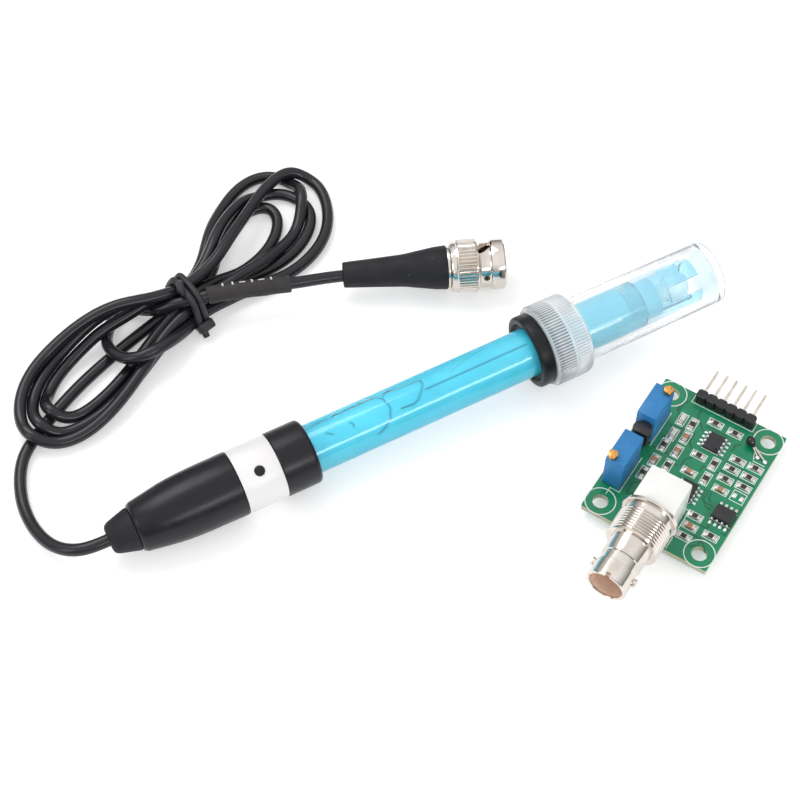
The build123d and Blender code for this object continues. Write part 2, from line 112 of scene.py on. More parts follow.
def add(tree, kind, inputs=None, **settings):
    """One node with its settings, each input linked where a socket is given and set where a value is."""
    node = tree.nodes.new("ShaderNode" + kind)
    for name, value in settings.items():
        setattr(node, name, value)
    for name, value in (inputs or {}).items():
        if isinstance(value, bpy.types.NodeSocket):
            tree.links.new(value, node.inputs[name])
        else:
            node.inputs[name].default_value = value
    return node


def finish(name, base, shade, rough, mottle=2, smear=4, grain=0.3, depth=0.004, **shader):
    """A surface whose colour drifts between base and shade over mottle mm and whose roughness
    drifts over smear mm, with a grain of that size and depth in mm. The rest is set on the shader."""
    material = bpy.data.materials.new(name)
    material.use_nodes = True
    tree = material.node_tree
    face = tree.nodes["Principled BSDF"]
    place = add(tree, "TexCoord").outputs["Object"]
    drift = add(tree, "TexNoise", {"Vector": place, "Scale": 1 / (mottle * MM), "Detail": 3.0})
    share = add(tree, "MapRange", {"Value": drift.outputs["Fac"], "From Min": 0.35, "From Max": 0.65})
    tone = add(tree, "Mix", {0: share.outputs["Result"], 6: colour(base), 7: colour(shade)}, data_type="RGBA")
    tree.links.new(tone.outputs[2], face.inputs["Base Color"])
    wipe = add(tree, "TexNoise", {"Vector": place, "Scale": 1 / (smear * MM), "Detail": 4.0})
    sheen = add(tree, "MapRange", {
        "Value": wipe.outputs["Fac"], "From Min": 0.3, "From Max": 0.7,
        "To Min": rough[0], "To Max": rough[1],
    })
    tree.links.new(sheen.outputs["Result"], face.inputs["Roughness"])
    pits = add(tree, "TexNoise", {"Vector": place, "Scale": 1 / (grain * MM), "Detail": 2.0})
    relief = add(tree, "Bump", {"Height": pits.outputs["Fac"], "Distance": depth * MM})
    tree.links.new(relief.outputs["Normal"], face.inputs["Normal"])
    for socket, value in shader.items():
        face.inputs[socket.replace("_", " ")].default_value = value
    return material


def tint(material, share, second):
    """Mixes a second colour over a material's own by a share."""
    tree = material.node_tree
    face = tree.nodes["Principled BSDF"]
    own = face.inputs["Base Color"].links[0].from_socket
    mixed = add(tree, "Mix", {0: share, 6: own, 7: second}, data_type="RGBA")
    tree.links.new(mixed.outputs[2], face.inputs["Base Color"])
    return material


def specked(material, low, high, code, size):
    """Tints a material where a noise of that size in mm rises from low to high."""
    tree = material.node_tree
    place = add(tree, "TexCoord").outputs["Object"]
    spots = add(tree, "TexNoise", {"Vector": place, "Scale": 1 / (size * MM), "Detail": 1.0})
    share = add(tree, "MapRange", {"Value": spots.outputs["Fac"], "From Min": low, "From Max": high})
    return tint(material, share.outputs["Result"], colour(code))


def stained(material, name, code):
    """Tints a material where the shape stores that attribute."""
    share = add(material.node_tree, "Attribute", attribute_name=name).outputs["Fac"]
    return tint(material, share, colour(code))


# Moulded ABS with a fine spark-eroded texture: a satin black with broad soft highlights.
BLACK_ABS = finish(
    "moulded_black_abs", "#14131a", "#100f16", mottle=11, rough=(0.26, 0.36), grain=0.35, depth=0.003,
    Specular_IOR_Level=0.33,
)
# The same plastic in white for the identifying band, a little glossier.
WHITE_ABS = finish(
    "moulded_white_abs", "#f4f2f2", "#eeecec", mottle=8, rough=(0.28, 0.36), grain=0.4, depth=0.002,
)
# Plasticised PVC, extruded over the coaxial core: a glossy black that carries long highlights.
CORD_PVC = finish(
    "extruded_black_pvc", "#242328", "#1e1d22", mottle=7, rough=(0.16, 0.24), smear=3, grain=0.6,
    Specular_IOR_Level=0.36,
)
# Soft thermoplastic elastomer, matt, with specks of dust that its tacky skin holds.
BOOT_TPE = specked(
    finish(
        "matt_black_elastomer", "#19181e", "#151419", mottle=5, rough=(0.55, 0.7), depth=0.012,
        Specular_IOR_Level=0.35,
    ),
    low=0.74, high=0.8, code="#5d5f64", size=0.6,
)
# Heat-shrunk polyolefin, brownish black and matt, with a fine uneven skin.
SHRINK = finish(
    "shrunk_polyolefin", "#2a2527", "#231f21", mottle=2.5, rough=(0.55, 0.7), grain=0.5, depth=0.015,
)
# White marking ink on the sleeve, slightly broken by the sleeve's texture.
SLEEVE_INK = finish("white_marking_ink", "#e9e7e6", "#cfcbca", mottle=0.8, rough=(0.5, 0.6))
# Extruded solid rubber of the tie, with a dull bloom.
TIE_RUBBER = finish("bloomed_black_rubber", "#25262a", "#1d1e21", rough=(0.45, 0.6), grain=0.4, depth=0.012)
# EPDM sealing washer, dense black rubber with a moulded half gloss.
EPDM = finish(
    "moulded_epdm", "#101113", "#16171a", mottle=3, rough=(0.3, 0.42), grain=0.4, depth=0.008,
    Specular_IOR_Level=0.25,
)
# Silicone seals, translucent and slightly waxy.
SILICONE = finish(
    "cast_silicone", "#d9dcdb", "#cbd0cf", mottle=5, rough=(0.4, 0.5), grain=0.4, Subsurface_Weight=0.3,
    Subsurface_Scale=0.001,
)
# Bright nickel on turned brass: warm, nearly a mirror, slightly hazed where it was handled.
NICKEL = finish(
    "bright_nickel_plate", "#dfd8d1", "#d0c8c0", mottle=4, rough=(0.08, 0.16), smear=2, depth=0.0015,
    Metallic=1.0,
)
# Nickel gone tan inside the jack's mouth, where the polishing wheel did not reach, and painted much lighter
# and less metallic than the nickel to lift the bore's shade: painted light.
TARNISH_AND_PAINTED_LIGHT = finish(
    "tarnished_nickel_painted_light", "#f6dcc8", "#e4c4ae", rough=(0.3, 0.45), smear=2, depth=0.002, Metallic=0.12,
)
# Machined brass of the adjusting screws, unplated: a warm yellow with a fine tool finish.
BRASS = finish(
    "turned_brass", "#dca765", "#c58f4e", mottle=1, rough=(0.22, 0.36), smear=1, grain=0.15, depth=0.003,
    Metallic=1.0,
)
# Hard gold over nickel on the contacts, smooth and warm.
GOLD = finish(
    "gold_plated_contact", "#e3c072", "#d6b062", mottle=1, rough=(0.2, 0.3), grain=0.2, depth=0.001,
    Metallic=1.0,
)
# Turned PTFE, opaque white with a waxy sheen.
PTFE = finish(
    "turned_ptfe", "#f1f0ea", "#e9e8e1", mottle=5, rough=(0.35, 0.45), grain=0.4, Subsurface_Weight=0.2,
    Subsurface_Scale=0.001,
)
# Injection moulded clear polystyrene: the cap, bright at its edges and slightly hazed by its ribs, with
# grey-blue painted shade in the valleys between its ribs.
CLEAR_CAP = stained(
    finish(
        "clear_polystyrene", "#fafcfd", "#f1f5f7", mottle=6, rough=(0.08, 0.2), grain=0.8, depth=0.006,
        Transmission_Weight=0.6, IOR=1.4,
    ),
    # Painted shade: grey-blue in the rib valleys.
    "valley", "#58656d",
)
# Blown clear PETG: the bottle, almost invisible but for its edges and its thick base.
CLEAR_BOTTLE = stained(
    finish(
        "clear_petg", "#fbfcfd", "#f7f9fb", mottle=9, rough=(0.0, 0.04), grain=2.5, depth=0.01,
        Transmission_Weight=0.92, IOR=1.44,
    ),
    "base", "#d3e8f1",
)
# Extruded polycarbonate tinted cyan: the electrode's body tube.
CYAN_TUBE = stained(
    finish(
        "cyan_polycarbonate", "#dbf6fc", "#cff2fa", mottle=14, rough=(0.0, 0.03), grain=3.0, depth=0.006,
        Transmission_Weight=1.0, IOR=1.4,
    ),
    "cut_end", "#8ddef1",
)
# Blown lithium glass of the membrane bulb and its stem.
GLASS = finish(
    "blown_lithium_glass", "#dcf5fb", "#cff1f9", mottle=5, rough=(0.02, 0.06), grain=2, depth=0.002,
    Transmission_Weight=0.5, IOR=1.45,
)
# Chloride coated silver wire, dull grey.
SILVER = finish("chlorided_silver", "#8b8a86", "#6d6a66", rough=(0.35, 0.5), grain=0.2, Metallic=1.0)
# Cast epoxy that closes the tube at the head and at the tip, tinted by the gel behind it.
EPOXY = finish(
    "cast_clear_epoxy", "#8fe3f4", "#80dcf0", mottle=5, rough=(0.1, 0.2), grain=0.4, Transmission_Weight=0.2,
    IOR=1.5,
)
# Sintered ceramic of the porous junction, chalky white.
CERAMIC = finish(
    "sintered_ceramic", "#efeee8", "#dfdcd2", mottle=0.6, rough=(0.7, 0.85), grain=0.2, depth=0.02,
)
# Tin-lead solder, bright where it froze smooth and duller where it froze grainy.
SOLDER = finish(
    "reflowed_solder", "#ececed", "#cfd0d2", mottle=0.7, rough=(0.2, 0.42), smear=0.8, grain=0.35, depth=0.02,
    Metallic=1.0,
)
# Tinned copper legs and pins, a soft grey shine.
TINNED = finish("tinned_copper", "#dad3c9", "#c4bbaf", mottle=1.5, rough=(0.24, 0.4), smear=1.5, Metallic=1.0)
# Glass filled PBT of the header strip, black and slightly grainy.
HEADER_PBT = finish(
    "black_glass_filled_pbt", "#202022", "#1a1a1c", mottle=1.5, rough=(0.4, 0.55), grain=0.25, depth=0.012,
)
# Diallyl phthalate case of the trimmers: a flat mid blue with a fine moulded texture.
TRIMMER_BLUE = finish(
    "moulded_blue_phthalate", "#2c80be", "#2879b4", mottle=3, rough=(0.4, 0.5), grain=0.25, depth=0.005,
)
# White PBT of the jack's housing, smooth and glossy.
HOUSING_WHITE = finish(
    "glossy_white_pbt", "#f7f7f5", "#f1f1ee", mottle=6, rough=(0.2, 0.3), grain=0.5, depth=0.002,
)
# Black epoxy mould compound of the chips, grey-black, with the mould's coarse satin grain.
CHIP_EPOXY = finish(
    "moulded_chip_epoxy", "#252528", "#1f1f22", mottle=0.9, rough=(0.48, 0.62), grain=0.22, depth=0.012,
)
# The regulator's epoxy, smoother and blacker than the chips'.
REGULATOR_EPOXY = finish(
    "smooth_black_epoxy", "#1c1c1e", "#232326", mottle=1.5, rough=(0.28, 0.42), grain=0.25, depth=0.008,
)
# Fired alumina of the chip parts, matt and off-white.
ALUMINA = finish("fired_alumina", "#dcd8d0", "#cfcac0", mottle=0.5, rough=(0.5, 0.6), grain=0.15, depth=0.006)
# The black glass glaze over the resistors, half glossy.
GLAZE = finish("black_glass_glaze", "#1f1c1b", "#2a2523", mottle=0.6, rough=(0.25, 0.4), grain=0.2)
# Fired barium titanate of the capacitors, a pinkish tan.
TITANATE = finish(
    "fired_tan_titanate", "#b58a70", "#a2775e", mottle=0.5, rough=(0.4, 0.55), grain=0.15, depth=0.006,
)
# Clear epoxy over the lamps' white board, milky.
LAMP_LENS = finish(
    "milky_lamp_epoxy", "#eceae2", "#dddacf", mottle=0.6, rough=(0.12, 0.22), Subsurface_Weight=0.4,
    Subsurface_Scale=0.0004,
)
# Dipped epoxy bead of the thermistor, glossy as it cured.
BEAD_EPOXY = finish(
    "dipped_black_epoxy", "#121213", "#1b1b1c", mottle=1, rough=(0.08, 0.18), grain=0.7, depth=0.015,
)
# Epoxy ink of the board's outlines, printed through a mesh, so its edge is slightly broken.
BOARD_INK = finish(
    "white_board_ink", "#f4f6f2", "#dde6de", mottle=0.35, rough=(0.5, 0.6), grain=0.2, depth=0.003,
)
# Solder mask over etched copper: darker where there is no copper below it.
TRACE_MASK = finish(
    "solder_mask_on_laminate", "#0b6447", "#0a5c41", mottle=1.2, rough=(0.25, 0.35), grain=0.4,
)


def board_laminate():
    """FR4 under green solder mask. The flat faces show bright green copper pour with a faint
    woven relief, and the sawn edges and drilled walls show the cream glass laminate."""
    material = finish(
        "masked_glass_laminate", "#0b865c", "#0a7d55", mottle=7, rough=(0.24, 0.36), smear=6, grain=0.5,
        depth=0.003,
    )
    tree = material.node_tree
    place = add(tree, "TexCoord").outputs["Object"]
    height = add(tree, "SeparateXYZ", {"Vector": place}).outputs["Z"]
    low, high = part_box("circuit_board")
    skin = 0.06 * MM
    above = add(tree, "Math", {0: height, 1: low.z + skin}, operation="GREATER_THAN")
    below = add(tree, "Math", {0: height, 1: high.z - skin}, operation="LESS_THAN")
    wall = add(tree, "Math", {0: above.outputs[0], 1: below.outputs[0]}, operation="MULTIPLY")
    flat = add(tree, "Mapping", {"Vector": place, "Scale": (1, 1, 9)}).outputs["Vector"]
    plies = add(tree, "TexNoise", {"Vector": flat, "Scale": 1 / (1.2 * MM)})
    glass = add(
        tree, "Mix", {0: plies.outputs["Fac"], 6: colour("#cfcdb2"), 7: colour("#a3a27f")}, data_type="RGBA",
    )
    return tint(material, wall.outputs[0], glass.outputs[2])


# Potassium chloride gel: cyan and slightly milky, with deep teal painted shade along the rims of the air
# bubbles that lie between it and the tube, under the tube's fine rings and along the reference wire.
GEL = stained(
    finish(
        "milky_cyan_gel", "#5ccde0", "#52c5da", mottle=9, rough=(0.12, 0.2), grain=2, depth=0.01,
        Subsurface_Weight=0.35, Subsurface_Scale=0.003,
    ),
    # Painted shade: deep teal where the rims are marked.
    "rim", "#12586a",
)


def dress(material, *nodes):
    """Gives CAD nodes a better material."""
    for node in nodes:
        for place in NODES[node].material_slots:
            place.material = material


# -------- shaping
def lathe(outline, steps=96):
    """A solid of revolution about X from (along, radius) points, closed at the axis."""
    bm = bmesh.new()
    verts = [bm.verts.new((along, 0, radius)) for along, radius in outline]
    sides = [pair for pair in zip(verts, verts[1:] + verts[:1]) if max(vert.co.z for vert in pair) > 1e-6]
    edges = [bm.edges.new(pair) for pair in sides]
    bmesh.ops.spin(
        bm, geom=verts + edges, cent=(0, 0, 0), axis=(1, 0, 0), dvec=(0, 0, 0),
        angle=2 * math.pi, steps=steps, use_merge=True,
    )
    bmesh.ops.remove_doubles(bm, verts=bm.verts, dist=1e-4)
    bmesh.ops.recalc_face_normals(bm, faces=bm.faces)
    return bm


def round_edges(bm, edges, width):
    """Rounds some edges of a shape."""
    bmesh.ops.bevel(
        bm, geom=edges, offset=width, offset_type="OFFSET", affect="EDGES",
        segments=2, profile=0.5, material=-1, clamp_overlap=True,
    )


def soften(bm, width):
    """Rounds every edge where the faces turn by more than 30 degrees."""
    sharp = math.radians(30)
    round_edges(bm, [e for e in bm.edges if len(e.link_faces) == 2 and e.calc_face_angle(0) > sharp], width)
    return bm


def alone(draw, *inputs, **settings):
    """A new shape that holds one block or post."""
    bm = bmesh.new()
    draw(bm, *inputs, **settings)
    return bm


def join(bm, other):
    """Moves another shape into this one."""
    mesh = bpy.data.meshes.new("spare")
    other.to_mesh(mesh)
    other.free()
    bm.from_mesh(mesh)
    bpy.data.meshes.remove(mesh)


def block(bm, place, size, rounding=0.0, draft=0.0):
    """A block standing on the middle of its base. Draft narrows its top by that much on each side."""
    verts = bmesh.ops.create_cube(bm, size=1.0)["verts"]
    for vert in verts:
        rise = vert.co.z + 0.5
        inset = 2 * draft * rise
        vert.co = (vert.co.x * (size[0] - inset), vert.co.y * (size[1] - inset), rise * size[2])
    bmesh.ops.transform(bm, matrix=place, verts=verts)
    if rounding:
        round_edges(bm, list({edge for vert in verts for edge in vert.link_edges}), rounding)


def post(bm, place, radius, height, steps=32):
    """A round post standing on the middle of its base."""
    bmesh.ops.create_cone(
        bm, cap_ends=True, segments=steps, radius1=radius, radius2=radius, depth=height,
        matrix=place @ at(0, 0, height / 2),
    )


def ring_line(bm, place, radius, width, thick):
    """A flat ring, such as a printed circle."""
    inner, outer = radius - width / 2, radius + width / 2
    ring = lathe([(0, inner), (0, outer), (thick, outer), (thick, inner)], 64)
    bmesh.ops.transform(ring, matrix=place @ turned(-90, "Y"), verts=ring.verts)
    join(bm, ring)


def line(bm, start, end, width, level, thick):
    """A printed or etched line lying flat on a level."""
    start, end = Vector(start), Vector(end)
    run = end - start
    middle = (start + end) / 2
    place = at(middle.x, middle.y, level, math.degrees(math.atan2(run.y, run.x)))
    block(bm, place, (run.length + width, width, thick))


def sweep(points, radii, steps=24):
    """A round bar through points, with its own radius at each and closed ends."""
    bm = bmesh.new()
    points = [Vector(point) for point in points]
    rings = []
    for index, (point, radius) in enumerate(zip(points, radii)):
        heading = points[min(index + 1, len(points) - 1)] - points[max(index - 1, 0)]
        turn = heading.to_track_quat("Z", "Y").to_matrix().to_4x4()
        place = Matrix.Translation(point) @ turn
        verts = bmesh.ops.create_circle(bm, segments=steps, radius=radius, matrix=place)["verts"]
        rings.append(list({edge for vert in verts for edge in vert.link_edges}))
    for first, second in zip(rings, rings[1:]):
        bmesh.ops.bridge_loops(bm, edges=first + second)
    bmesh.ops.holes_fill(bm, edges=rings[0] + rings[-1], sides=0)
    bmesh.ops.recalc_face_normals(bm, faces=bm.faces)
    return bm


def carve(bm, *cutters):
    """Cuts closed shapes out of another one."""
    target = bpy.data.objects.new("target", bpy.data.meshes.new("target"))
    bm.to_mesh(target.data)
    bpy.context.scene.collection.objects.link(target)
    spare = [target]
    for shape in cutters:
        cutter = bpy.data.objects.new("cutter", bpy.data.meshes.new("cutter"))
        shape.to_mesh(cutter.data)
        shape.free()
        bpy.context.scene.collection.objects.link(cutter)
        spare.append(cutter)
        cut = target.modifiers.new("cut", "BOOLEAN")
        cut.operation, cut.solver, cut.object = "DIFFERENCE", "EXACT", cutter
    bpy.context.view_layer.update()
    result = target.evaluated_get(bpy.context.evaluated_depsgraph_get())
    bm.clear()
    bm.from_mesh(result.data)
    for item in spare:
        mesh = item.data
        bpy.data.objects.remove(item)
        bpy.data.meshes.remove(mesh)
    return bm


# A piece that lets more of the light through than this casts no shadow.
CASTS_NO_SHADOW = 0.5


def piece(name, bm, place, material, body, nodes=(), smooth=32):
    """A finished piece from a shape drawn in mm, riding on a body and standing for CAD nodes."""
    bmesh.ops.transform(bm, matrix=place, verts=bm.verts)
    mesh = bpy.data.meshes.new(name)
    bm.to_mesh(mesh)
    bm.free()
    mesh.materials.append(material)
    mesh.polygons.foreach_set("use_smooth", [True] * len(mesh.polygons))
    mesh.set_sharp_from_angle(angle=math.radians(smooth))
    item = bpy.data.objects.new(name, mesh)
    clear = material.node_tree.nodes["Principled BSDF"].inputs["Transmission Weight"].default_value
    item.visible_shadow = clear < CASTS_NO_SHADOW
    bpy.context.scene.collection.objects.link(item)
    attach(item, body)
    if nodes:
        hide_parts(*nodes)
    return item


def maker(place, body):
    """Makes pieces in one frame that ride on one body."""
    def make(name, bm, material, slot, *nodes, smooth=32):
        return piece(name, bm, place, material, body, nodes, smooth)
    return make


on_electrode = maker(ELECTRODE, "electrode")
on_plug = maker(PLUG, "electrode")
on_board = maker(BOARD, "board")


# -------- the cord
# The lead leaves the grommet, drops to the bench and comes round to the waist of the hank,
# where the tie holds nine strands in three layers. Each lobe loops out from the waist and
# back: its reach, lean, half width, taper, drift and point, its place across the waist and
# height there, and its order in the pile going out and coming back. The tail leaves the top
# of the waist for the plug. All in mm.
CORD_R = 1.5
REST = 1.52
LOWER, MIDDLE, UPPER = 3.3, 5.94, 8.58
TIE_AT = np.array([-35.85, 84.0])
TIE_TURN = math.radians(16.0)
WAIST_ALONG = np.array([math.cos(TIE_TURN), math.sin(TIE_TURN)])
WAIST_ACROSS = np.array([-math.sin(TIE_TURN), math.cos(TIE_TURN)])
EXIT = ELECTRODE @ Vector((0, 0, 0)) / MM
BEND = ELECTRODE @ Vector((-4.2, 0, 0)) / MM
LEAD = [
    tuple(EXIT), tuple(BEND), (-87.95, 30.06, 6.0), (-90.95, 33.46, 4.8), (-92.75, 38.06, 3.5),
    (-93.55, 43.46, 2.4), (-93.35, 49.66, 1.7), (-91.65, 56.06, REST), (-88.85, 61.46, REST),
    (-84.6, 65.2, REST), (-78.5, 69.3, REST), (-70.5, 74.0, REST), (-61.5, 78.1, REST),
    (-53.0, 81.2, 1.7), (-46.0, 83.2, 2.3), (-41.0, 84.3, 3.0),
]
LOBES = [
    (37.3, 24.2, 7.0, 0.50, 6.0, 1.50, 1.5, LOWER, 1, 1),
    (45.3, 191.0, 8.8, 1.00, 5.6, 1.36, 0.0, MIDDLE, 2, 6),
    (43.5, 23.9, 10.5, 0.54, 2.5, 1.22, 3.0, MIDDLE, 3, 2),
    (48.4, 187.4, 11.0, 0.68, 10.2, 1.46, -1.5, LOWER, 3, 7),
    (46.7, 26.6, 11.2, 0.50, 7.0, 1.30, 4.5, LOWER, 2, 3),
    (51.5, 187.5, 12.6, 0.59, 10.5, 1.34, -3.0, MIDDLE, 4, 8),
    (48.0, 10.5, 12.8, 0.70, 13.2, 1.18, 1.5, UPPER, 6, 1),
    (22.4, 169.2, 12.4, 0.60, 6.4, 1.65, -4.5, LOWER, 5, 5),
]
LAST_SLOT = (-3.2, 8.9)
TAIL = [
    (-31.0, 79.7, 8.9), (-26.5, 78.45, 8.8), (-21.5, 77.2, 8.3), (-11.3, 74.5, 7.6), (-5.4, 73.3, 7.1),
    (0.0, 71.9, 6.75), (9.18, 68.43, 6.75),
]
HALF_WAIST = 2.2
# Strands are parted to these radii. Nearness to the waist runs from 1 there to 0 far out.
STRAND_R, SLEEVED_R, SLEEVED_STEPS = 1.53, 2.25, np.arange(3, 18)
FREE_BELOW, HELD_ABOVE = 0.98, 0.88
STEP = 1.5
# How far the middle of two steps each way stands out from its chord at the tightest bend allowed.
TIGHTEST = 5.6
TIGHT = (2 * STEP) ** 2 / (2 * TIGHTEST)


def even(points):
    """Places at an even step along a line of points."""
    along = np.r_[0, np.cumsum(np.linalg.norm(np.diff(points, axis=0), axis=1))]
    places = np.linspace(0, along[-1], int(along[-1] / STEP) + 1)
    return np.column_stack([np.interp(places, along, points[:, k]) for k in range(points.shape[1])])


def hank():
    """The lobes as rows of x, y, height, order in the pile, and 1 at the waist falling to 0 far out."""
    rows = []
    for index, (reach, lean, width, taper, drift, point, slot, height, out, back) in enumerate(LOBES):
        next_slot, next_height = LOBES[index + 1][6:8] if index + 1 < len(LOBES) else LAST_SLOT
        t = np.linspace(0, 1, 97)[:, None]
        s = np.sin(np.pi * t).clip(0)
        near, share = 1 - s * s, np.cos(np.pi * t / 2) ** 2
        lean = math.radians(lean)
        outward = np.array([math.cos(lean), math.sin(lean)])
        sideways = np.array([-math.sin(lean), math.cos(lean)])
        swing = width * np.sin(2 * np.pi * t) * s ** taper + drift * s * s
        across = slot * share + next_slot * (1 - share)
        ahead = -HALF_WAIST if index % 2 else HALF_WAIST
        flat = TIE_AT + reach * s ** point * outward + swing * sideways
        flat = flat + across * near * WAIST_ACROSS + ahead * near * WAIST_ALONG
        level = REST + (np.where(t < 0.5, height, next_height) - REST) * (1 - 2.2 * s).clip(0)
        rows.append(even(np.hstack([flat, level, np.where(t < 0.5, out, back), 1 - s])))
    return np.vstack(rows)


def drape(points, order, held, along):
    """Lays the strands in their order, each over what it crosses, with long low humps.
    Lengths nearer than clear mm along the cord don't count as crossings."""
    apart, slope, rounds, clear = 3.06, 0.3, 4, 9
    points = points.copy()
    turn_order = sorted(range(len(points)), key=lambda i: (order[i], i))
    rank = np.empty(len(points), int)
    rank[turn_order] = range(len(points))
    start, run = points[:-1, :2], points[1:, :2] - points[:-1, :2]
    size = (run ** 2).sum(1).clip(1e-9)
    laid = np.maximum(rank[:-1], rank[1:])
    for _ in range(rounds):
        for i in turn_order:
            if held[i]:
                continue
            t = np.clip(((points[i, :2] - start) * run).sum(1) / size, 0, 1)
            gap = np.linalg.norm(points[i, :2] - start - t[:, None] * run, axis=1)
            level = points[:-1, 2] * (1 - t) + points[1:, 2] * t
            elsewhere = abs((along[:-1] + along[1:]) / 2 - along[i]) > clear
            under = (gap < apart) & (laid < rank[i]) & elsewhere
            if under.any():
                points[i, 2] = max(points[i, 2], (level[under] + np.sqrt(apart ** 2 - gap[under] ** 2)).max())
        hump = (points[None, :, 2] - slope * abs(along[:, None] - along[None, :])).max(1)
        level = np.where(held, points[:, 2], np.maximum(points[:, 2], hump))
        eased = level.copy()
        eased[1:-1] = 0.25 * level[:-2] + 0.5 * level[1:-1] + 0.25 * level[2:]
        points[:, 2] = np.where(held, points[:, 2], np.maximum(level, eased))
    return points


def uneven(points, reach):
    """How far each place stands out from an even bend between its neighbours."""
    bend, change = np.zeros_like(points), np.zeros_like(points)
    bend[reach:-reach] = (points[:-2 * reach] + points[2 * reach:]) / 2 - points[reach:-reach]
    change[reach:-reach] = (bend[:-2 * reach] + bend[2 * reach:]) / 2 - bend[reach:-reach]
    return change


def settle(points, along, free, radius, ease):
    """Pushes overlapping strands apart, evens their bends, most near the waist, opens the
    tight ones and lets them sink. The last rounds leave out the stronger evening near the waist."""
    rounds, last, clear = 160, 30, 7.5
    part, even_out, ease_out, open_out, sink = 0.7, 0.45, 0.1, 0.4, 0.012
    first, second = np.triu_indices(len(points), 3)
    far = abs(along[first] - along[second]) > clear
    first, second = first[far], second[far]
    apart = radius[first] + radius[second]
    loose = free[:, None]
    for turn in range(rounds):
        gap = points[first] - points[second]
        size = np.linalg.norm(gap, axis=1)
        hit = size < apart
        one, other = first[hit], second[hit]
        share = np.where(free[one] & free[other], 0.5, 0.9)
        push = (share * (apart[hit] - size[hit]) / size[hit])[:, None] * gap[hit]
        moved, count = np.zeros_like(points), np.ones(len(points))
        for ends, sign in ((one, 1), (other, -1)):
            np.add.at(moved, ends, sign * push)
            np.add.at(count, ends, 1)
        points = points + np.where(loose, part * moved / np.sqrt(count)[:, None], 0)
        points = points - np.where(loose, even_out * uneven(points, 1), 0)
        if turn < rounds - last:
            points = points - np.where(loose, ease_out * ease[:, None] * uneven(points, 3), 0)
        bend = (points[:-4] + points[4:]) / 2 - points[2:-2]
        tight = (1 - TIGHT / np.linalg.norm(bend, axis=1).clip(TIGHT))[:, None]
        points[2:-2] += np.where(loose[2:-2], open_out * tight * bend, 0)
        points[free, 2] = np.maximum(points[free, 2] - sink, REST)
    return points


def lay_cord():
    """The lead's own points, the lobes as they settle round them and under the tail, and the tail's."""
    lead, lobes, tail = np.array(LEAD), hank(), np.array(TAIL)
    before, after = even(lead), even(tail)
    points = np.vstack([before, lobes[:, :3], after])
    order = np.r_[np.zeros(len(before)), lobes[:, 3], np.full(len(after), 9)]
    waist = np.r_[np.ones(len(before)), lobes[:, 4], np.ones(len(after))]
    free = np.r_[np.zeros(len(before), bool), lobes[:, 4] < FREE_BELOW, np.zeros(len(after), bool)]
    radius = np.full(len(points), STRAND_R)
    radius[len(points) - len(after) + SLEEVED_STEPS] = SLEEVED_R
    along = np.r_[0, np.cumsum(np.linalg.norm(np.diff(points[:, :2], axis=0), axis=1))]
    points = drape(points, order, waist > HELD_ABOVE, along)
    points = settle(points, along, free, radius, waist.clip(0.05))
    return np.vstack([lead, points[len(before):len(points) - len(after):2], tail])


def cord_spline(name, points, radius):
    """A round cord along one NURBS spline with these control points, in mm."""
    data = bpy.data.curves.new(name, "CURVE")
    data.dimensions = "3D"
    spline = data.splines.new("NURBS")
    spline.points.add(len(points) - 1)
    for control, point in zip(spline.points, points):
        control.co = (*(Vector(point) * MM), 1.0)
    spline.order_u = 3
    spline.use_endpoint_u = True
    data.resolution_u = 4
    data.bevel_depth = radius * MM
    data.bevel_resolution = 5
    data.use_fill_caps = True
    item = bpy.data.objects.new(name, data)
    bpy.context.scene.collection.objects.link(item)
    return item


lead_cord = cord_spline("lead_cord", lay_cord(), CORD_R)
lead_cord.data.materials.append(CORD_PVC)
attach(lead_cord, "electrode")
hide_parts("cord_lead", "cord_hank", "cord_tail")

bare = lead_cord.copy()
bare.data = lead_cord.data.copy()
bare.data.bevel_depth = 0.0
bpy.context.scene.collection.objects.link(bare)
bpy.context.view_layer.update()
centre_mesh = bpy.data.meshes.new_from_object(bare.evaluated_get(bpy.context.evaluated_depsgraph_get()))
centre = np.array([vert.co for vert in centre_mesh.vertices]) / MM
spare_curve = bare.data
bpy.data.objects.remove(bare)
bpy.data.curves.remove(spare_curve)
bpy.data.meshes.remove(centre_mesh)
run = np.r_[0, np.cumsum(np.linalg.norm(np.diff(centre, axis=0), axis=1))]
CORD_LENGTH = run[-1]


def on_cord(start, length, count):
    """Points of the cord's own line from a place on it, in mm from the exit."""
    places = np.linspace(start, start + length, count)
    return [tuple(np.interp(places[i], run, centre[:, k]) for k in range(3)) for i in range(count)]


def nearest_on_cord(x, y, after):
    """How far along the cord it passes nearest to a point on the bench, past a given length."""
    gap = np.hypot(centre[:, 0] - x, centre[:, 1] - y)
    return run[np.where(run < after, np.inf, gap).argmin()]


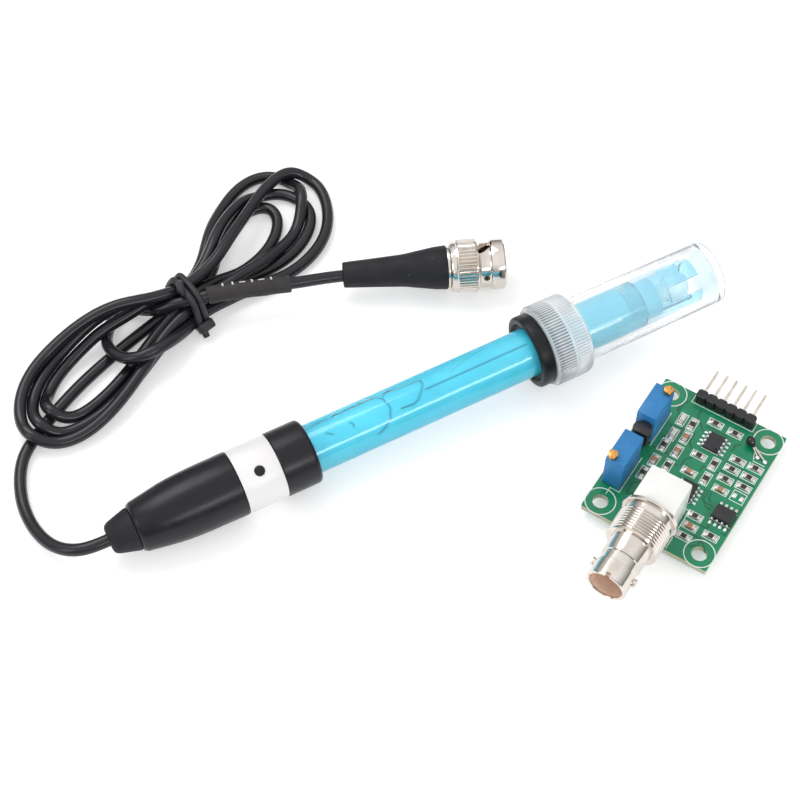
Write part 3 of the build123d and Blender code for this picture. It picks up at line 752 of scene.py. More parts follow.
def marker_sleeve():
    """Heat-shrunk marker sleeve over the tail, its ends rounded, with plain printed bars along it."""
    start, length, rings = nearest_on_cord(-32.0, 79.6, after=CORD_LENGTH - 60), 20.6, 24
    points = on_cord(start, length, rings)
    radii = [2.18 + 0.05 * math.sin(index * 0.9) for index in range(rings)]
    ends_in, ends_out = on_cord(start - 0.12, 0.12, 2)[:1], on_cord(start + length, 0.12, 2)[1:]
    sleeve = piece(
        "polyolefin_sleeve", sweep(ends_in + points + ends_out, [1.55] + radii + [1.55]), BENCH, SHRINK,
        "electrode", ["marker_sleeve"], smooth=50,
    )
    ink = bmesh.new()
    upright, level = (0.42, 1.3), (1.5, 0.42)
    for step, (long, wide) in enumerate([upright, upright, level, upright, level, upright]):
        first, last = (Vector(point) for point in on_cord(start + 4.0 + 2.4 * step, 0.6, 2))
        turn = (last - first).to_track_quat("X", "Z").to_matrix().to_4x4() @ turned(-24, "X")
        block(ink, Matrix.Translation(first) @ turn @ at(0, 0, 2.12), (long, wide, 0.12))
    bars = piece("printed_bars", ink, BENCH, SLEEVE_INK, "electrode")
    return [sleeve, bars]


# -------- electrode
FILLER = at(36.3, 0, 0) @ turned(28, "X")
FILLER_R = 1.25


def drilled(bm, *cutters):
    """The radial filling hole, leaning 28 degrees from the top, through a part of the electrode."""
    return carve(bm, *cutters, alone(post, FILLER @ at(0, 0, 4.0), FILLER_R, 6.0, steps=48))


def make_head():
    """The grommet, the waisted head, the white band and the collar over the end of the tube."""
    grommet = lathe([
        (0, 2.6), (0.25, 3.25), (0.7, 3.6), (1.3, 3.9), (5.7, 5.15), (6.0, 5.15), (6.2, 5.08),
        (6.2, 3.2), (9.5, 3.2), (9.5, 1.5), (0.3, 1.5), (0, 1.7),
    ])
    on_electrode("cord_grommet", soften(grommet, 0.12), BOOT_TPE, "black_rubber", "cable_grommet")
    swell = [
        (6.2, 5.12), (6.4, 5.5), (7.2, 6.02), (12.6, 6.88), (14.6, 7.2), (16.8, 7.43), (19.4, 7.61),
        (22.0, 7.7), (30.95, 7.8), (31.25, 7.72), (31.4, 7.5),
    ]
    cone = lathe(swell + [
        (31.4, 6.6), (43.0, 6.6), (43.0, 6.0), (30.0, 6.0), (30.0, 5.4), (12.0, 4.6), (9.5, 4.2), (9.5, 3.2),
        (6.2, 3.2),
    ], 128)
    on_electrode("electrode_head", drilled(cone), BLACK_ABS, "black_shell", "head_cone")
    band = lathe([
        (31.45, 6.61), (41.15, 6.61), (41.15, 7.69), (41.05, 7.75), (31.55, 7.75), (31.45, 7.69),
    ], 128)
    on_electrode("head_band", drilled(band), WHITE_ABS, "white_plastic", "white_band")
    collar = lathe([
        (41.2, 6.61), (43.0, 6.61), (43.0, 6.01), (49.9, 6.01), (49.9, 7.0), (49.8, 7.3), (49.55, 7.6),
        (49.2, 7.79), (48.8, 7.85), (41.5, 7.85), (41.2, 7.65),
    ], 128)
    on_electrode("tube_collar", collar, BLACK_ABS, "black_shell", "head_collar")
    plug = alone(post, FILLER @ at(0, 0, 4.8), 1.2, 3.15, steps=48)
    top = max(plug.faces, key=lambda face: (FILLER.inverted() @ face.calc_center_median()).z)
    bmesh.ops.inset_region(plug, faces=[top], thickness=0.22)
    bmesh.ops.translate(plug, vec=(FILLER.to_3x3() @ Vector((0, 0, -0.12))), verts=top.verts)
    piece("filler_plug", soften(plug, 0.07), ELECTRODE, BLACK_ABS, "filler", ["fill_plug"])


# Painted shade on the gel: the rims of the two air bubbles, the edge of the reference wire and the tube's
# fine rings, as (along, degrees round from the top) lines on the gel, with how dark each is.
RIMS = [
    (0.95, [
        (50.3, -28), (55, -33), (57.2, -29), (58.3, -36), (59.6, -31), (61.3, -35), (64.2, -32), (65.8, -37),
        (67.2, -38), (69.1, -28),
    ]),
    (0.85, [(69.1, -28), (69.8, -16), (70.2, 2), (70.2, 18.5), (69.3, 40), (67.6, 57), (65.4, 68)]),
    (0.95, [(70.1, -23), (71.4, -38), (72.5, -32), (75.6, -28), (79.9, -24)]),
    (0.85, [(79.9, -24), (79.8, -6), (78.9, 8), (77.2, 26), (75.8, 32), (72.7, 29.5)]),
    (0.8, [(79.8, 10), (93.1, 10), (106.5, 9.6)]),
    (0.7, [(54.2, 8.5), (54.9, 14), (55.6, 20)]),
    (0.7, [(60.2, 8.6), (60.8, 14), (60.7, 22)]),
] + [(0.42, [(133.9 + 0.85 * ring, -58), (133.9 + 0.85 * ring, 62)]) for ring in range(5)] + [
    (0.25, [(87.2, -6.3), (89.6, -16.5), (94.0, -31.4), (97.8, -41.7)]),
]


def make_gel():
    """The gel inside the tube, drawn finely enough to carry the painted shade along the bubbles' rims."""
    radius, soft, faint, deep = 5.03, 0.2, 0.02, 0.025
    wall = [(33.5 + 0.4 * index, radius) for index in range(1, 261)]
    ends = [(33.5, 2.5), (33.5, radius - 0.2)], [(138.0, radius - 0.2), (138.0, 2.5)]
    bm = lathe(ends[0] + wall + ends[1], 132)
    # Painted shade: each vertex near a rim line is darkened by its nearness, and sunk a little where it is.
    painted_rim_shade = bm.verts.layers.float.new("rim")
    for vert in bm.verts:
        if math.hypot(vert.co.y, vert.co.z) < radius - 0.1 or vert.co.x < 50:
            continue
        here = Vector((vert.co.x, radius * math.atan2(-vert.co.y, vert.co.z)))
        for strength, rim in RIMS:
            corners = [Vector((x, radius * math.radians(turn))) for x, turn in rim]
            for a, b in zip(corners, corners[1:]):
                t = min(1.0, max(0.0, (here - a).dot(b - a) / (b - a).length_squared))
                gap = (here - a.lerp(b, t)).length
                vert[painted_rim_shade] = max(vert[painted_rim_shade], strength * math.exp(-(gap / soft) ** 2))
    for vert in bm.verts:
        if vert[painted_rim_shade] > faint:
            sink = 1 - deep * vert[painted_rim_shade]
            vert.co.y *= sink
            vert.co.z *= sink
    on_electrode("electrolyte_gel", bm, GEL, "gel", "reference_gel", smooth=80)


def make_tube():
    """The body tube, with five fine rings turned near its tip and four prongs round the bulb."""
    outer = []
    for ring in range(5):
        x = 133.7 + 0.85 * ring
        outer += [(x, 6.0), (x + 0.12, 5.86), (x + 0.24, 6.0)]
    tube = lathe([
        (30.0, 5.0), (137.6, 5.0), (138.6, 5.0), (153.3, 5.0), (153.3, 5.6), (153.2, 5.8),
        (152.9, 5.95), (152.5, 6.0), (139.2, 6.0),
    ] + outer[::-1] + [(30.0, 6.0)], 128)
    cut_end = tube.verts.layers.float.new("cut_end")
    for vert in tube.verts:
        vert[cut_end] = min(1.0, max(0.0, (vert.co.x - 138.0) / 14.0))
    slots = [alone(block, turned(turn, "X") @ at(150.4, 0, -7), (11.8, 3.6, 14.0)) for turn in (45, 135)]
    on_electrode("body_tube", drilled(tube, *slots), CYAN_TUBE, "cyan_tube", "electrode_tube")
    outside = [math.radians(143) * (1 - index / 20) for index in range(21)]
    inside = [math.radians(149) * index / 20 for index in range(21)]
    bulb = [
        (148.6 + radius * math.cos(angle), radius * math.sin(angle))
        for radius, angles in ((3.8, outside), (3.45, inside)) for angle in angles
    ]
    shell = lathe([(20.0, 1.8), (20.0, 2.5), (145.0, 2.5)] + bulb + [(145.2, 1.8)], 64)
    on_electrode("membrane_bulb", shell, GLASS, "glass", "glass_stem", "ph_bulb", smooth=60)


# -------- soak bottle
def make_bottle():
    """The gasket, the ribbed cap and the thick-based bottle round the tip."""
    gasket = lathe([
        (107.35, 8.55), (107.5, 8.85), (107.8, 9.0), (110.4, 9.0), (110.7, 8.85), (110.8, 8.6),
        (110.8, 6.05), (108.6, 6.05), (108.6, 6.45), (108.3, 6.9), (107.9, 7.15), (107.4, 7.4), (107.3, 7.6),
    ], 128)
    piece("sealing_washer", soften(gasket, 0.08), ELECTRODE, EPDM, "cap", ["cap_gasket"])
    ribs = 84
    stations = [
        (111.1, 9.95), (111.4, 10.2), (115.5, 10.25), (115.8, 9.95), (116.2, 9.95), (116.5, 10.25),
        (119.6, 10.2),
    ]
    cap = lathe(
        [(110.8, 6.35), (113.0, 6.35), (113.0, 8.3), (120.9, 8.3), (120.9, 8.9), (120.7, 9.25), (120.2, 9.85)]
        + stations[::-1] + [(110.8, 9.6)], 2 * ribs,
    )
    # Painted shade: the valleys between the ribs are marked dark, fully on the band by the washer and less on
    # the far band, and faintly where the bands step down.
    valley = cap.verts.layers.float.new("valley")
    for vert in cap.verts:
        radius = math.hypot(vert.co.y, vert.co.z)
        vert[valley] = 0.12 if 9.9 < radius < 10.0 else 0.0
        if radius > 10.1 and round(math.atan2(vert.co.z, vert.co.y) * ribs / math.pi) % 2:
            vert[valley] = 1.0 if vert.co.x < 116 else 0.42
            vert.co.y *= 0.967
            vert.co.z *= 0.967
    piece("ribbed_cap", cap, ELECTRODE, CLEAR_CAP, "cap", ["bottle_cap"], smooth=24)
    bottle = lathe([
        (114.7, 6.8), (156.2, 6.8), (156.75, 6.6), (157.05, 6.1), (157.1, 5.4), (157.1, 0), (159.3, 0),
        (159.3, 6.3), (159.2, 6.9), (158.83, 7.5), (158.3, 7.88), (157.7, 8.0), (114.7, 8.0),
    ], 128)
    base = bottle.verts.layers.float.new("base")
    for vert in bottle.verts:
        vert[base] = float(vert.co.x > 156.5 and math.hypot(vert.co.y, vert.co.z) < 7.0)
    piece(
        "clear_bottle", bottle, ELECTRODE, CLEAR_BOTTLE, "bottle", ["soak_bottle"],
        smooth=40,
    )
    seal = lathe([(113.1, 6.4), (114.65, 6.4), (114.65, 7.85), (113.1, 7.85)], 96)
    piece("bottle_seal", soften(seal, 0.2), ELECTRODE, SILICONE, "seal", ["seal_ring"])


# -------- plug
def make_plug():
    """The strain-relief boot, the knurled coupling nut and the plug's insides."""
    boot = lathe([
        (0, 2.0), (0, 3.0), (0.3, 3.2), (8.0, 3.62), (14.2, 4.0), (15.6, 4.14), (17.2, 4.4), (23.0, 5.3),
        (25.6, 5.5), (26.0, 5.35), (26.0, 3.3), (18.0, 3.3), (18.0, 1.5), (3.0, 1.5), (3.0, 2.0),
    ], 96)
    boot = on_plug("strain_relief_boot", soften(boot, 0.16), BOOT_TPE, "black_rubber", "plug_boot")
    shell = lathe([
        (20.0, 1.6), (20.0, 2.3), (26.0, 2.3), (26.0, 5.3), (26.6, 5.3), (26.6, 3.95), (31.0, 3.95),
        (31.0, 3.9), (39.4, 3.9), (39.4, 3.5), (29.5, 3.5), (29.5, 1.6),
    ], 96)
    shell = on_plug("plug_shell", soften(shell, 0.05), NICKEL, "nickel", "plug_body")
    knurls = 46
    nut = lathe([
        (26.7, 4.0), (30.2, 4.0), (30.2, 4.95), (40.3, 4.95), (40.3, 5.9), (40.15, 6.2), (39.85, 6.4),
        (39.5, 6.45), (37.2, 6.45), (36.85, 6.3), (36.6, 5.9), (36.3, 5.75), (34.2, 5.75), (33.9, 5.9),
        (33.7, 6.3), (33.5, 6.5), (33.3, 6.62), (33.1, 6.68), (32.95, 6.6), (28.7, 6.6), (28.55, 6.66),
        (28.3, 6.6), (28.1, 6.35), (27.9, 6.3), (27.2, 6.3), (26.8, 6.1), (26.7, 5.9),
    ], 4 * knurls)
    for vert in nut.verts:
        if 28.6 < vert.co.x < 33.0 and math.hypot(vert.co.y, vert.co.z) > 6.5:
            station = round(math.atan2(vert.co.z, vert.co.y) * 2 * knurls / math.pi)
            shift = (1.01, 1.01, 0.95, 0.925)[station % 4]
            vert.co.y *= shift
            vert.co.z *= shift
    cutters = []
    for side in (0, 180):
        slot = at(35.1, 0, 0) @ turned(side - 8, "X") @ at(0, 0, 4) @ turned(40, "Z")
        cutters.append(alone(block, slot, (3.0, 2.1, 4.0)))
        cutters += [alone(post, slot @ at(end, 0, 0), 1.05, 4.0) for end in (-1.5, 1.5)]
        cutters.append(alone(post, at(35.4, 0, 0) @ turned(side + 76, "X") @ at(0, 0, 4), 0.8, 4.0))
    coupling = piece(
        "knurled_coupling", carve(nut, *cutters), PLUG, NICKEL, "nut", ["coupling_nut"], smooth=24,
    )
    insert = lathe([(29.6, 0.7), (35.2, 0.7), (35.2, 3.2), (34.9, 3.45), (29.6, 3.45)], 64)
    insert = on_plug("plug_insert", soften(insert, 0.05), PTFE, "ptfe", "plug_insulator")
    pin = lathe([(20.0, 0), (37.9, 0), (37.85, 0.2), (37.4, 0.52), (37.0, 0.66), (20.0, 0.66)], 32)
    pin = on_plug("plug_contact_pin", pin, GOLD, "brass", "plug_pin")
    washer = lathe([(31.2, 4.0), (32.4, 4.0), (32.4, 4.55), (31.2, 4.55)], 64)
    washer = on_plug("plug_washer", soften(washer, 0.12), SILICONE, "silicone", "plug_seal")
    return [boot, shell, coupling, insert, pin, washer]


# -------- twist tie
def make_tie():
    """A rubber tie drawn twice round the waist's strands, with its eye on top and its knob in front."""
    on_waist = maker(BENCH @ at(TIE_AT[0], TIE_AT[1], 0, math.degrees(TIE_TURN)), "electrode")
    gap = centre[:, :2] - TIE_AT
    along, across = gap @ WAIST_ALONG + 1.2, gap @ WAIST_ACROSS
    strands = []
    for index in np.flatnonzero(along[:-1] * along[1:] < 0):
        t = along[index] / (along[index] - along[index + 1])
        strands.append((
            (1 - t) * across[index] + t * across[index + 1],
            (1 - t) * centre[index, 2] + t * centre[index + 1, 2],
        ))
    radius, slack = 0.88, 0.12
    reach = CORD_R + radius + slack
    loop = []
    for index in range(96):
        angle = math.radians(-100 - 3.75 * index)
        way = (math.cos(angle), math.sin(angle))
        y, z = max(strands, key=lambda strand: strand[0] * way[0] + strand[1] * way[1])
        loop.append((y + reach * way[0], max(radius + 0.03, z + reach * way[1])))
    turns = bmesh.new()
    for side in (-0.96, 0.96):
        route = [(-1.2 + 0.1 * y + side, y, z) for y, z in loop]
        join(turns, sweep(route + route[:1], [radius] * (len(route) + 1), steps=16))
    turn = on_waist("tie_turn", turns, TIE_RUBBER, "black_rubber", "twist_tie", smooth=60)
    front = min(loop, key=lambda point: point[0] + 0.2 * abs(point[1] - 3.0))
    x, y, z = -1.3 + 0.1 * front[0], front[0] - 0.9, 3.2
    knob = alone(block, at(x, y, z) @ turned(40, "X") @ at(0, 0, -1.5), (4.3, 2.5, 3.0), 0.55)
    route = [(x - 0.9, y, z), (x - 1.0, y - 0.9, z - 1.2), (x - 1.15, y - 1.6, max(radius, z - 1.9))]
    join(knob, sweep(route, [radius, radius, 0.8], steps=16))
    knob = on_waist("tie_knob", knob, TIE_RUBBER, "black_rubber", "twist_tie", smooth=60)
    crown = float(np.interp(-0.6, *zip(*sorted(point for point in loop if point[1] > 6.5))))
    eye = sweep(
        [
            (-1.6, 1.0, crown + 0.9), (-2.5, -0.2, crown + 1.5), (-3.3, -1.4, crown + 1.1),
            (-3.0, -2.4, crown + 0.2),
        ],
        [0.7, 0.95, 0.95, 0.75], steps=16,
    )
    eye = on_waist("tie_eye", soften(eye, 0.2), TIE_RUBBER, "black_rubber", "twist_tie", smooth=60)
    return [turn, knob, eye]


# -------- board
CHIPS = [(10.4, -2.2, 0), (-4.8, -2.7, 0), (-6.2, -12.9, 90)]
RESISTORS = [
    (12.4, 4.5, 0), (3.7, 7.6, 0), (-0.85, 4.2, 0), (5.3, -4.8, 0), (0.7, -4.95, 0), (-5.7, 8.1, 0),
    (15.6, 0.0, 90), (15.5, -5.1, 90), (5.5, -0.7, 90), (9.1, -9.0, 90), (9.35, -13.4, 90),
    (6.2, -8.9, 90), (6.3, -13.2, 90), (3.0, -8.8, 90), (3.3, -13.3, 90), (-9.6, -7.4, 90),
    (-15.7, -7.6, 90), (-12.4, -12.8, 90),
]
CAPACITORS = [
    (8.3, 4.2, 0), (3.8, 4.1, 0), (-1.3, 7.5, 0), (0.25, -0.8, 90), (-0.2, -9.15, 90), (-12.6, -7.6, 90),
]
LAMPS = [(12.4, 7.25, 0), (7.6, 7.2, 0)]
JACK_AXIS = 8.6
TRIMMERS = {"a": (7.2, 12.8, 1), "b": (-8.0, 12.8, -1)}


def make_chips():
    """Three eight-leg chips: drafted bodies with a dimple by leg one, and gull-wing legs."""
    long, wide, pitch = 4.86, 3.86, 1.27
    bodies, cutters, legs, pads = bmesh.new(), [], bmesh.new(), bmesh.new()
    for x, y, turn in CHIPS:
        here = at(x, y, TOP, turn)
        block(bodies, here @ at(0, 0, 0.16), (long, wide, 0.62))
        block(bodies, here @ at(0, 0, 0.78), (long, wide, 0.8), 0.12, 0.16)
        cutters.append(alone(post, here @ at(-1.75, -1.2, 1.5), 0.42, 0.4, steps=24))
        for side in (-1, 1):
            for step in (-1.5, -0.5, 0.5, 1.5):
                leg = here @ at(step * pitch, 0)
                block(legs, leg @ at(0, side * 2.07, 0.72), (0.42, 0.5, 0.2), 0.05)
                slant = at(0, side * 2.3, 0.8) @ turned(-68 * side, "X")
                block(legs, leg @ slant @ at(0, side * 0.36, -0.1), (0.42, 0.9, 0.2), 0.05)
                block(legs, leg @ at(0, side * 2.75, 0.03), (0.42, 0.62, 0.2), 0.05)
                block(pads, leg @ at(0, side * 2.75, 0.0), (0.62, 1.2, 0.1), 0.04)
    on_board("chip_bodies", carve(bodies, *cutters), CHIP_EPOXY, "chip_black", "opamp_chips")
    on_board("chip_legs", legs, SOLDER, "solder", "opamp_leads")
    on_board("chip_pads", pads, SOLDER, "solder")


def make_small_parts():
    """Chip resistors, capacitors and lamps, each with soldered metal ends on its pads."""
    ends, fillets = bmesh.new(), bmesh.new()
    kinds = [
        ("resistor_chips", RESISTORS, 0.48, ALUMINA, "resistor", "chip_resistors"),
        ("capacitor_chips", CAPACITORS, 0.8, TITANATE, "capacitor", "chip_capacitors"),
        ("lamp_chips", LAMPS, 0.45, ALUMINA, "lamp", "status_lamps"),
    ]
    glaze, lenses = bmesh.new(), bmesh.new()
    for name, places, height, material, slot, node in kinds:
        bodies = bmesh.new()
        for x, y, turn in places:
            here = at(x, y, TOP, turn)
            block(bodies, here @ at(0, 0, 0.03), (1.94, 1.19, height - 0.04), 0.05)
            if node == "chip_resistors":
                block(glaze, here @ at(0, 0, height - 0.04), (1.3, 1.24, 0.1), 0.03, 0.03)
            if node == "status_lamps":
                block(lenses, here @ at(0, 0, height - 0.03), (1.3, 1.15, 0.36), 0.1, 0.08)
            for side in (-1, 1):
                block(ends, here @ at(side * 0.83, 0, 0.02), (0.36, 1.25, height), 0.05)
                block(fillets, here @ at(side * 1.18, 0, 0.0), (0.92, 1.3, 0.09), 0.04)
                block(fillets, here @ at(side * 1.1, 0, 0.05), (0.5, 1.1, height * 0.6), 0.06, 0.14)
        on_board(name, bodies, material, slot, node)
    on_board("resistor_glaze", glaze, GLAZE, "resistor")
    on_board("lamp_lenses", lenses, LAMP_LENS, "lamp")
    on_board("part_ends", ends, TINNED, "solder")
    on_board("part_fillets", fillets, SOLDER, "solder")


def make_trimmers():
    """The two hollow trimmer cases, with corner tabs, a seam line and slotted brass screws."""
    for name, (x, y, side) in TRIMMERS.items():
        here = at(x, y, TOP)
        case = carve(
            alone(block, here, (9.5, 4.8, 10.0), 0.22), alone(block, here @ at(0, 0, 0.8), (8.7, 4.0, 8.0)),
            alone(post, here @ at(side * 3.6, -side * 1.2, 8.0), 0.55, 3.0, steps=24),
        )
        on_board(f"trimmer_body_{name}", case, TRIMMER_BLUE, "trimmer_blue", f"trimmer_case_{name}")
        details = alone(block, here @ at(0, 0, 8.6), (9.56, 4.86, 0.18), 0.03)
        for corner_x in (-1, 1):
            for corner_y in (-1, 1):
                block(details, here @ at(corner_x * 4.25, corner_y * 2.0, 0.0), (1.1, 0.86, 0.6), 0.08)
        on_board(f"trimmer_seams_{name}", details, TRIMMER_BLUE, "trimmer_blue")
        middle = here @ at(side * 3.6, -side * 1.2)
        screw = soften(alone(post, middle @ at(0, 0, 10.1), 1.15, 1.3, steps=40), 0.12)
        carve(screw, alone(block, middle @ at(0, 0, 10.9, 35), (3.0, 0.45, 1.0)))
        post(screw, middle @ at(0, 0, 1.2), 0.5, 8.95, steps=24)
        piece(
            f"adjusting_screw_{name}", screw, BOARD, BRASS, f"screw_{name}",
            [f"trimmer_screw_{name}"],
        )


def make_regulator():
    """The half-round epoxy body that stands between the trimmers."""
    bm = alone(post, at(0.0, 12.3, TOP + 3.4), 2.3, 4.6, steps=64)
    cut = bmesh.ops.bisect_plane(
        bm, geom=bm.verts[:] + bm.edges[:] + bm.faces[:], plane_co=(-1.3, 0, 0), plane_no=(-1, 0, 0),
        clear_outer=True,
    )
    rim = [edge for edge in cut["geom_cut"] if isinstance(edge, bmesh.types.BMEdge)]
    bmesh.ops.holes_fill(bm, edges=rim, sides=0)
    bmesh.ops.recalc_face_normals(bm, faces=bm.faces)
    on_board("regulator_body", soften(bm, 0.22), REGULATOR_EPOXY, "chip_black", "regulator")


def make_thermistor():
    """The dipped bead, drawn out to a point towards its leads."""
    aim_at = Vector((12.2, -13.5, TOP + 0.3)) - Vector((14.7, -9.4, TOP + 1.5))
    place = at(14.7, -9.4, TOP + 1.5) @ aim_at.to_track_quat("X", "Z").to_matrix().to_4x4()
    bead = lathe([
        (-1.2, 0), (-1.15, 0.32), (-0.95, 0.72), (-0.6, 1.03), (-0.1, 1.18), (0.4, 1.08), (0.85, 0.8),
        (1.25, 0.5), (1.6, 0.3), (1.8, 0.0),
    ], 40)
    piece(
        "thermistor_epoxy", bead, BOARD @ place, BEAD_EPOXY, "board", ["thermistor_bead"],
        smooth=60,
    )
    blobs = bmesh.new()
    for x, y in [(12.3, -12.5), (12.1, -14.5)]:
        bmesh.ops.create_uvsphere(
            blobs, u_segments=24, v_segments=12, radius=0.62,
            matrix=at(x, y, TOP + 0.12) @ Matrix.Diagonal((1, 1, 0.75, 1)),
        )
    on_board("thermistor_solder", blobs, SOLDER, "solder")


def make_jack():
    """The white housing and the threaded, lugged nickel barrel of the jack."""
    housing = alone(block, at(-14.25, 0, TOP), (9.3, 10.2, 12.0), 0.45)
    bore = alone(post, at(-20.0, 0, JACK_AXIS) @ turned(90, "Y"), 2.6, 6.0, steps=48)
    legs = [(-11.4, 0.0, 0.45), (-14.0, 2.54, 0.45), (-16.6, 3.9, 0.7), (-16.6, -3.9, 0.7)]
    sockets = [alone(post, at(x, y, 1.0), radius, 3.6, steps=24) for x, y, radius in legs]
    on_board("jack_block", carve(housing, bore, *sockets), HOUSING_WHITE, "white_plastic", "jack_housing")
    on_jack = maker(BOARD @ at(0, 0, JACK_AXIS), "board")
    thread = []
    for turn in range(9):
        x = -21.5 - 0.76 * turn
        thread += [(x, 6.0), (x - 0.3, 6.35), (x - 0.46, 6.35)]
    shell = lathe([
        (-18.9, 2.6), (-18.9, 6.6), (-19.05, 6.85), (-19.75, 6.85), (-19.9, 6.6), (-19.9, 6.05), (-21.2, 6.0),
    ] + thread + [
        (-28.3, 6.2), (-28.3, 4.95), (-28.5, 4.85), (-32.9, 4.85), (-33.1, 4.6), (-35.4, 4.6), (-35.6, 4.85),
        (-39.85, 4.85), (-40.0, 4.7), (-40.0, 4.2), (-39.85, 4.05), (-30.0, 4.05), (-30.0, 2.6),
    ], 128)
    key = alone(block, at(-39.7, 0, 3.6), (1.2, 1.0, 2.0))
    on_jack("jack_barrel", carve(shell, key), NICKEL, "nickel", "jack_shell", smooth=28)
    lining = lathe([(-39.6, 4.06), (-39.6, 4.03), (-30.02, 4.03), (-30.02, 4.06)], 96)
    # Painted light: the lining is lighter than the bore's shade lets the nickel look.
    on_jack("jack_lining", lining, TARNISH_AND_PAINTED_LIGHT, "nickel")
    lugs = bmesh.new()
    for side in (-1, 1):
        post(lugs, at(-36.0, side * 4.5, 0) @ turned(-90 * side, "X"), 1.0, 1.0, steps=32)
    on_jack("jack_lugs", soften(lugs, 0.12), NICKEL, "nickel")
    insert = lathe([(-33.5, 0.9), (-33.5, 2.4), (-33.3, 2.6), (-14.0, 2.6), (-14.0, 0.9)], 64)
    on_jack("jack_insert", insert, PTFE, "ptfe", "jack_insulator")
    contact = lathe([(-34.4, 0.5), (-34.4, 0.75), (-34.2, 0.9), (-14.0, 0.9), (-14.0, 0.5)], 48)
    on_jack("jack_socket_contact", contact, GOLD, "brass", "jack_contact")


def make_print():
    """The board's printed outlines and the etched lines under its mask."""
    ink, trace = bmesh.new(), bmesh.new()
    level = TOP + 0.005
    for x in (-17.7, 17.7):
        for y in (-12.7, 12.7):
            ring_line(ink, at(x, y, level), 3.55, 0.24, 0.04)
    box = [(-1.82, -0.95, 0), (1.82, -0.95, 0), (1.82, 0.95, 0), (-1.82, 0.95, 0)]
    for x, y, turn in RESISTORS + CAPACITORS + LAMPS:
        corners = [at(x, y, 0, turn) @ Vector(corner) for corner in box]
        for step, (a, b) in enumerate(zip(corners, corners[1:] + corners[:1])):
            line(ink, a.to_2d(), b.to_2d(), 0.19, level + 0.003 * (step % 2), 0.04)
    outlines = [
        [(18.2, 7.7), (18.2, -8.3)], [(18.2, 7.7), (21.0, 7.7)], [(18.2, -8.3), (21.0, -8.3)],
        [(12.6, 10.2), (1.9, 10.2)], [(-2.2, 10.2), (-13.3, 10.2)], [(-13.3, 10.2), (-13.3, 12.6)],
        [(-13.3, 12.6), (-15.2, 12.6)], [(-9.0, -5.7), (-20.6, -5.7)], [(-9.0, -5.7), (-9.0, 5.7)],
        [(-9.0, 5.7), (-20.6, 5.7)], [(7.9, -4.2), (7.9, -0.2)], [(7.9, -4.2), (12.9, -4.2)],
        [(-7.3, -4.7), (-2.3, -4.7)], [(-8.2, -10.4), (-8.2, -15.4)], [(-4.2, -10.4), (-4.2, -15.4)],
        [(11.5, -11.9), (13.5, -11.2)], [(11.0, -12.0), (11.0, -14.9)], [(-1.3, -11.9), (1.7, -11.9)],
        [(-1.3, -15.1), (1.7, -15.1)], [(-1.3, -11.9), (-1.3, -15.1)], [(1.7, -11.9), (1.7, -15.1)],
    ]
    for step, (a, b) in enumerate(outlines):
        line(ink, a, b, 0.18, level + 0.006 + 0.003 * (step % 4), 0.04)
    routes = [
        [(16.4, 9.6), (14.6, 9.6), (13.6, 8.8)], [(17.2, 4.6), (15.4, 4.6), (14.0, 3.2), (12.3, 1.8)],
        [(10.6, 5.6), (9.6, 6.5), (9.6, 9.2)], [(5.9, 5.9), (5.9, 9.2)], [(2.0, 5.8), (2.0, 9.4)],
        [(-3.6, 4.2), (-5.4, 4.2), (-7.6, 6.2), (-10.2, 6.2), (-12.6, 8.4)],
        [(1.0, 1.6), (2.9, 1.6), (3.9, 0.6)], [(-2.6, 1.9), (-2.6, 3.0), (-7.2, 3.0)],
        [(2.2, -2.8), (3.6, -2.8), (3.6, -6.6)], [(-1.9, -6.2), (-3.9, -6.2), (-5.0, -7.3), (-5.0, -9.4)],
        [(-1.9, -7.0), (-4.6, -7.0), (-6.0, -8.4), (-6.0, -9.4)], [(-1.9, -7.8), (-3.4, -7.8), (-4.2, -8.6)],
        [(7.4, -6.9), (7.4, -15.0)], [(4.7, -6.9), (4.7, -15.2)], [(10.9, -6.6), (12.6, -6.6), (13.6, -7.6)],
        [(13.9, -3.8), (13.9, 1.4)], [(16.9, -9.6), (18.6, -7.8), (18.6, -2.6)],
        [(-11.0, -9.8), (-11.0, -11.2), (-9.6, -11.2)], [(-14.2, -9.6), (-14.2, -11.4), (-16.6, -13.6)],
        [(-17.3, -5.9), (-17.3, -3.9)], [(-17.2, -10.0), (-16.0, -11.4), (-14.4, -11.4)],
        [(0.4, 2.4), (0.4, 3.0)], [(6.6, 1.8), (7.7, 2.9), (10.3, 2.9)],
        [(-7.6, 7.0), (-9.4, 8.8), (-12.4, 8.8)], [(14.6, 9.0), (16.8, 9.0), (17.6, 8.4)],
        [(-10.4, -14.6), (-10.4, -15.4), (-2.2, -15.4)],
    ]
    for index, route in enumerate(routes):
        for step, (a, b) in enumerate(zip(route, route[1:])):
            line(trace, a, b, 0.42, TOP + 0.003 + 0.003 * ((index + 2 * step) % 5), 0.02)
    on_board("printed_outlines", ink, BOARD_INK, "white_plastic")
    on_board("etched_lines", trace, TRACE_MASK, "board_green")
    pads = bmesh.new()
    for x, y in [(0.3, -12.6), (0.2, -14.4)]:
        block(pads, at(x, y, TOP), (1.3, 0.9, 0.06), 0.02)
    on_board("empty_pads", pads, SOLDER, "solder")


# -------- everything else
sleeve_pieces = marker_sleeve()
make_head()
make_gel()
make_tube()
make_bottle()
plug_pieces = make_plug()
tie_pieces = make_tie()
make_chips()
make_small_parts()
make_trimmers()
make_regulator()
make_thermistor()
make_jack()
make_print()

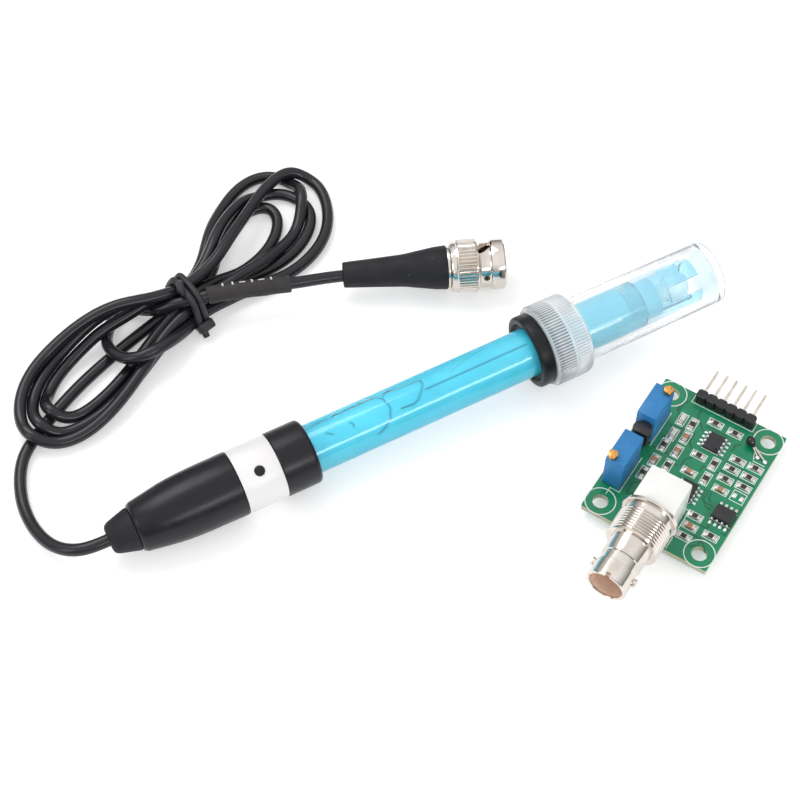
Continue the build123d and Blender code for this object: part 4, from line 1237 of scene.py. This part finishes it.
dress(EPOXY, "head_seal", "tip_stopper")
dress(CERAMIC, "porous_junction")
dress(SILVER, "measuring_wire", "reference_wire")
dress(CORD_PVC, "cable_ends")
dress(NICKEL, "plug_ferrule")
dress(board_laminate(), "circuit_board")
dress(SOLDER, "solder_joints")
dress(HEADER_PBT, "header_block", "trimmer_wiper_a", "trimmer_wiper_b")
dress(TINNED, "header_pins", "trimmer_legs", "regulator_legs", "thermistor_leads", "jack_legs")


# -------- bench and light
def make_bench():
    """A plain white sheet, with enough light of its own to read as white, also in mirrors and glass."""
    material = bpy.data.materials.new("matt_white_sheet")
    material.use_nodes = True
    tree = material.node_tree
    tree.nodes.clear()
    rays = add(tree, "LightPath").outputs
    seen = add(tree, "Math", {0: rays["Is Camera Ray"], 1: rays["Is Transmission Ray"]}, operation="MAXIMUM")
    seen = add(tree, "Math", {0: seen.outputs[0], 1: rays["Is Glossy Ray"]}, operation="MAXIMUM")
    place = add(tree, "TexCoord").outputs["Object"]
    fibre = add(tree, "TexNoise", {"Vector": place, "Scale": 40.0, "Detail": 4.0})
    tone = add(
        tree, "Mix", {0: fibre.outputs["Fac"], 6: colour("#f1f1f1"), 7: colour("#eeeeef")}, data_type="RGBA",
    )
    paper = add(tree, "BsdfDiffuse", {"Color": tone.outputs[2]})
    lift = add(tree, "Math", {0: seen.outputs[0], 1: 0.38}, operation="MULTIPLY")
    glow = add(tree, "Emission", {"Color": colour("#ffffff"), "Strength": lift.outputs[0]})
    both = add(tree, "AddShader", {0: paper.outputs[0], 1: glow.outputs[0]})
    add(tree, "OutputMaterial", {"Surface": both.outputs[0]})
    bm = bmesh.new()
    bmesh.ops.create_grid(bm, x_segments=4, y_segments=4, size=3.0)
    mesh = bpy.data.meshes.new("bench")
    bm.to_mesh(mesh)
    bm.free()
    mesh.materials.append(material)
    bench = bpy.data.objects.new("bench", mesh)
    bpy.context.scene.collection.objects.link(bench)


def make_world():
    """White to the camera and through glass, and a soft studio gradient in reflections and on the object."""
    world = bpy.data.worlds.new("studio")
    world.use_nodes = True
    bpy.context.scene.world = world
    tree = world.node_tree
    tree.nodes.clear()
    rays = add(tree, "LightPath").outputs
    seen = add(tree, "Math", {0: rays["Is Camera Ray"], 1: rays["Is Transmission Ray"]}, operation="MAXIMUM")
    height = add(tree, "SeparateXYZ", {"Vector": add(tree, "TexCoord").outputs["Generated"]}).outputs["Z"]
    mirrored = add(tree, "MapRange", {
        "Value": height, "From Min": 0.05, "From Max": 0.75, "To Min": 0.22, "To Max": 1.12,
    })
    strength = add(
        tree, "Mix", {0: rays["Is Glossy Ray"], 2: 0.68, 3: mirrored.outputs["Result"]}, data_type="FLOAT",
    )
    strength = add(tree, "Mix", {0: seen.outputs[0], 2: strength.outputs[0], 3: 1.0}, data_type="FLOAT")
    light = add(tree, "Background", {"Color": colour("#ffffff"), "Strength": strength.outputs[0]})
    add(tree, "OutputWorld", {"Surface": light.outputs[0]})


def lamp(name, place, aim_at, size, power):
    """A soft box."""
    data = bpy.data.lights.new(name, "AREA")
    data.shape, data.size, data.size_y = "RECTANGLE", size[0], size[1]
    data.energy = power
    item = bpy.data.objects.new(name, data)
    item.location = place
    item.rotation_euler = (Vector(aim_at) - Vector(place)).to_track_quat("-Z", "Y").to_euler()
    bpy.context.scene.collection.objects.link(item)


make_bench()
make_world()
lamp("overhead_box", (-0.12, 0.42, 0.62), (0, 0.03, 0), (0.5, 0.4), 1.9)
lamp("front_box", (0.08, -0.63, 0.39), (0, 0.03, 0), (0.6, 0.12), 1.5)
lamp("side_box", (-0.7, 0.0, 0.35), (0, 0.03, 0), (0.3, 0.4), 0.7)
bpy.context.scene.view_settings.view_transform = "Standard"
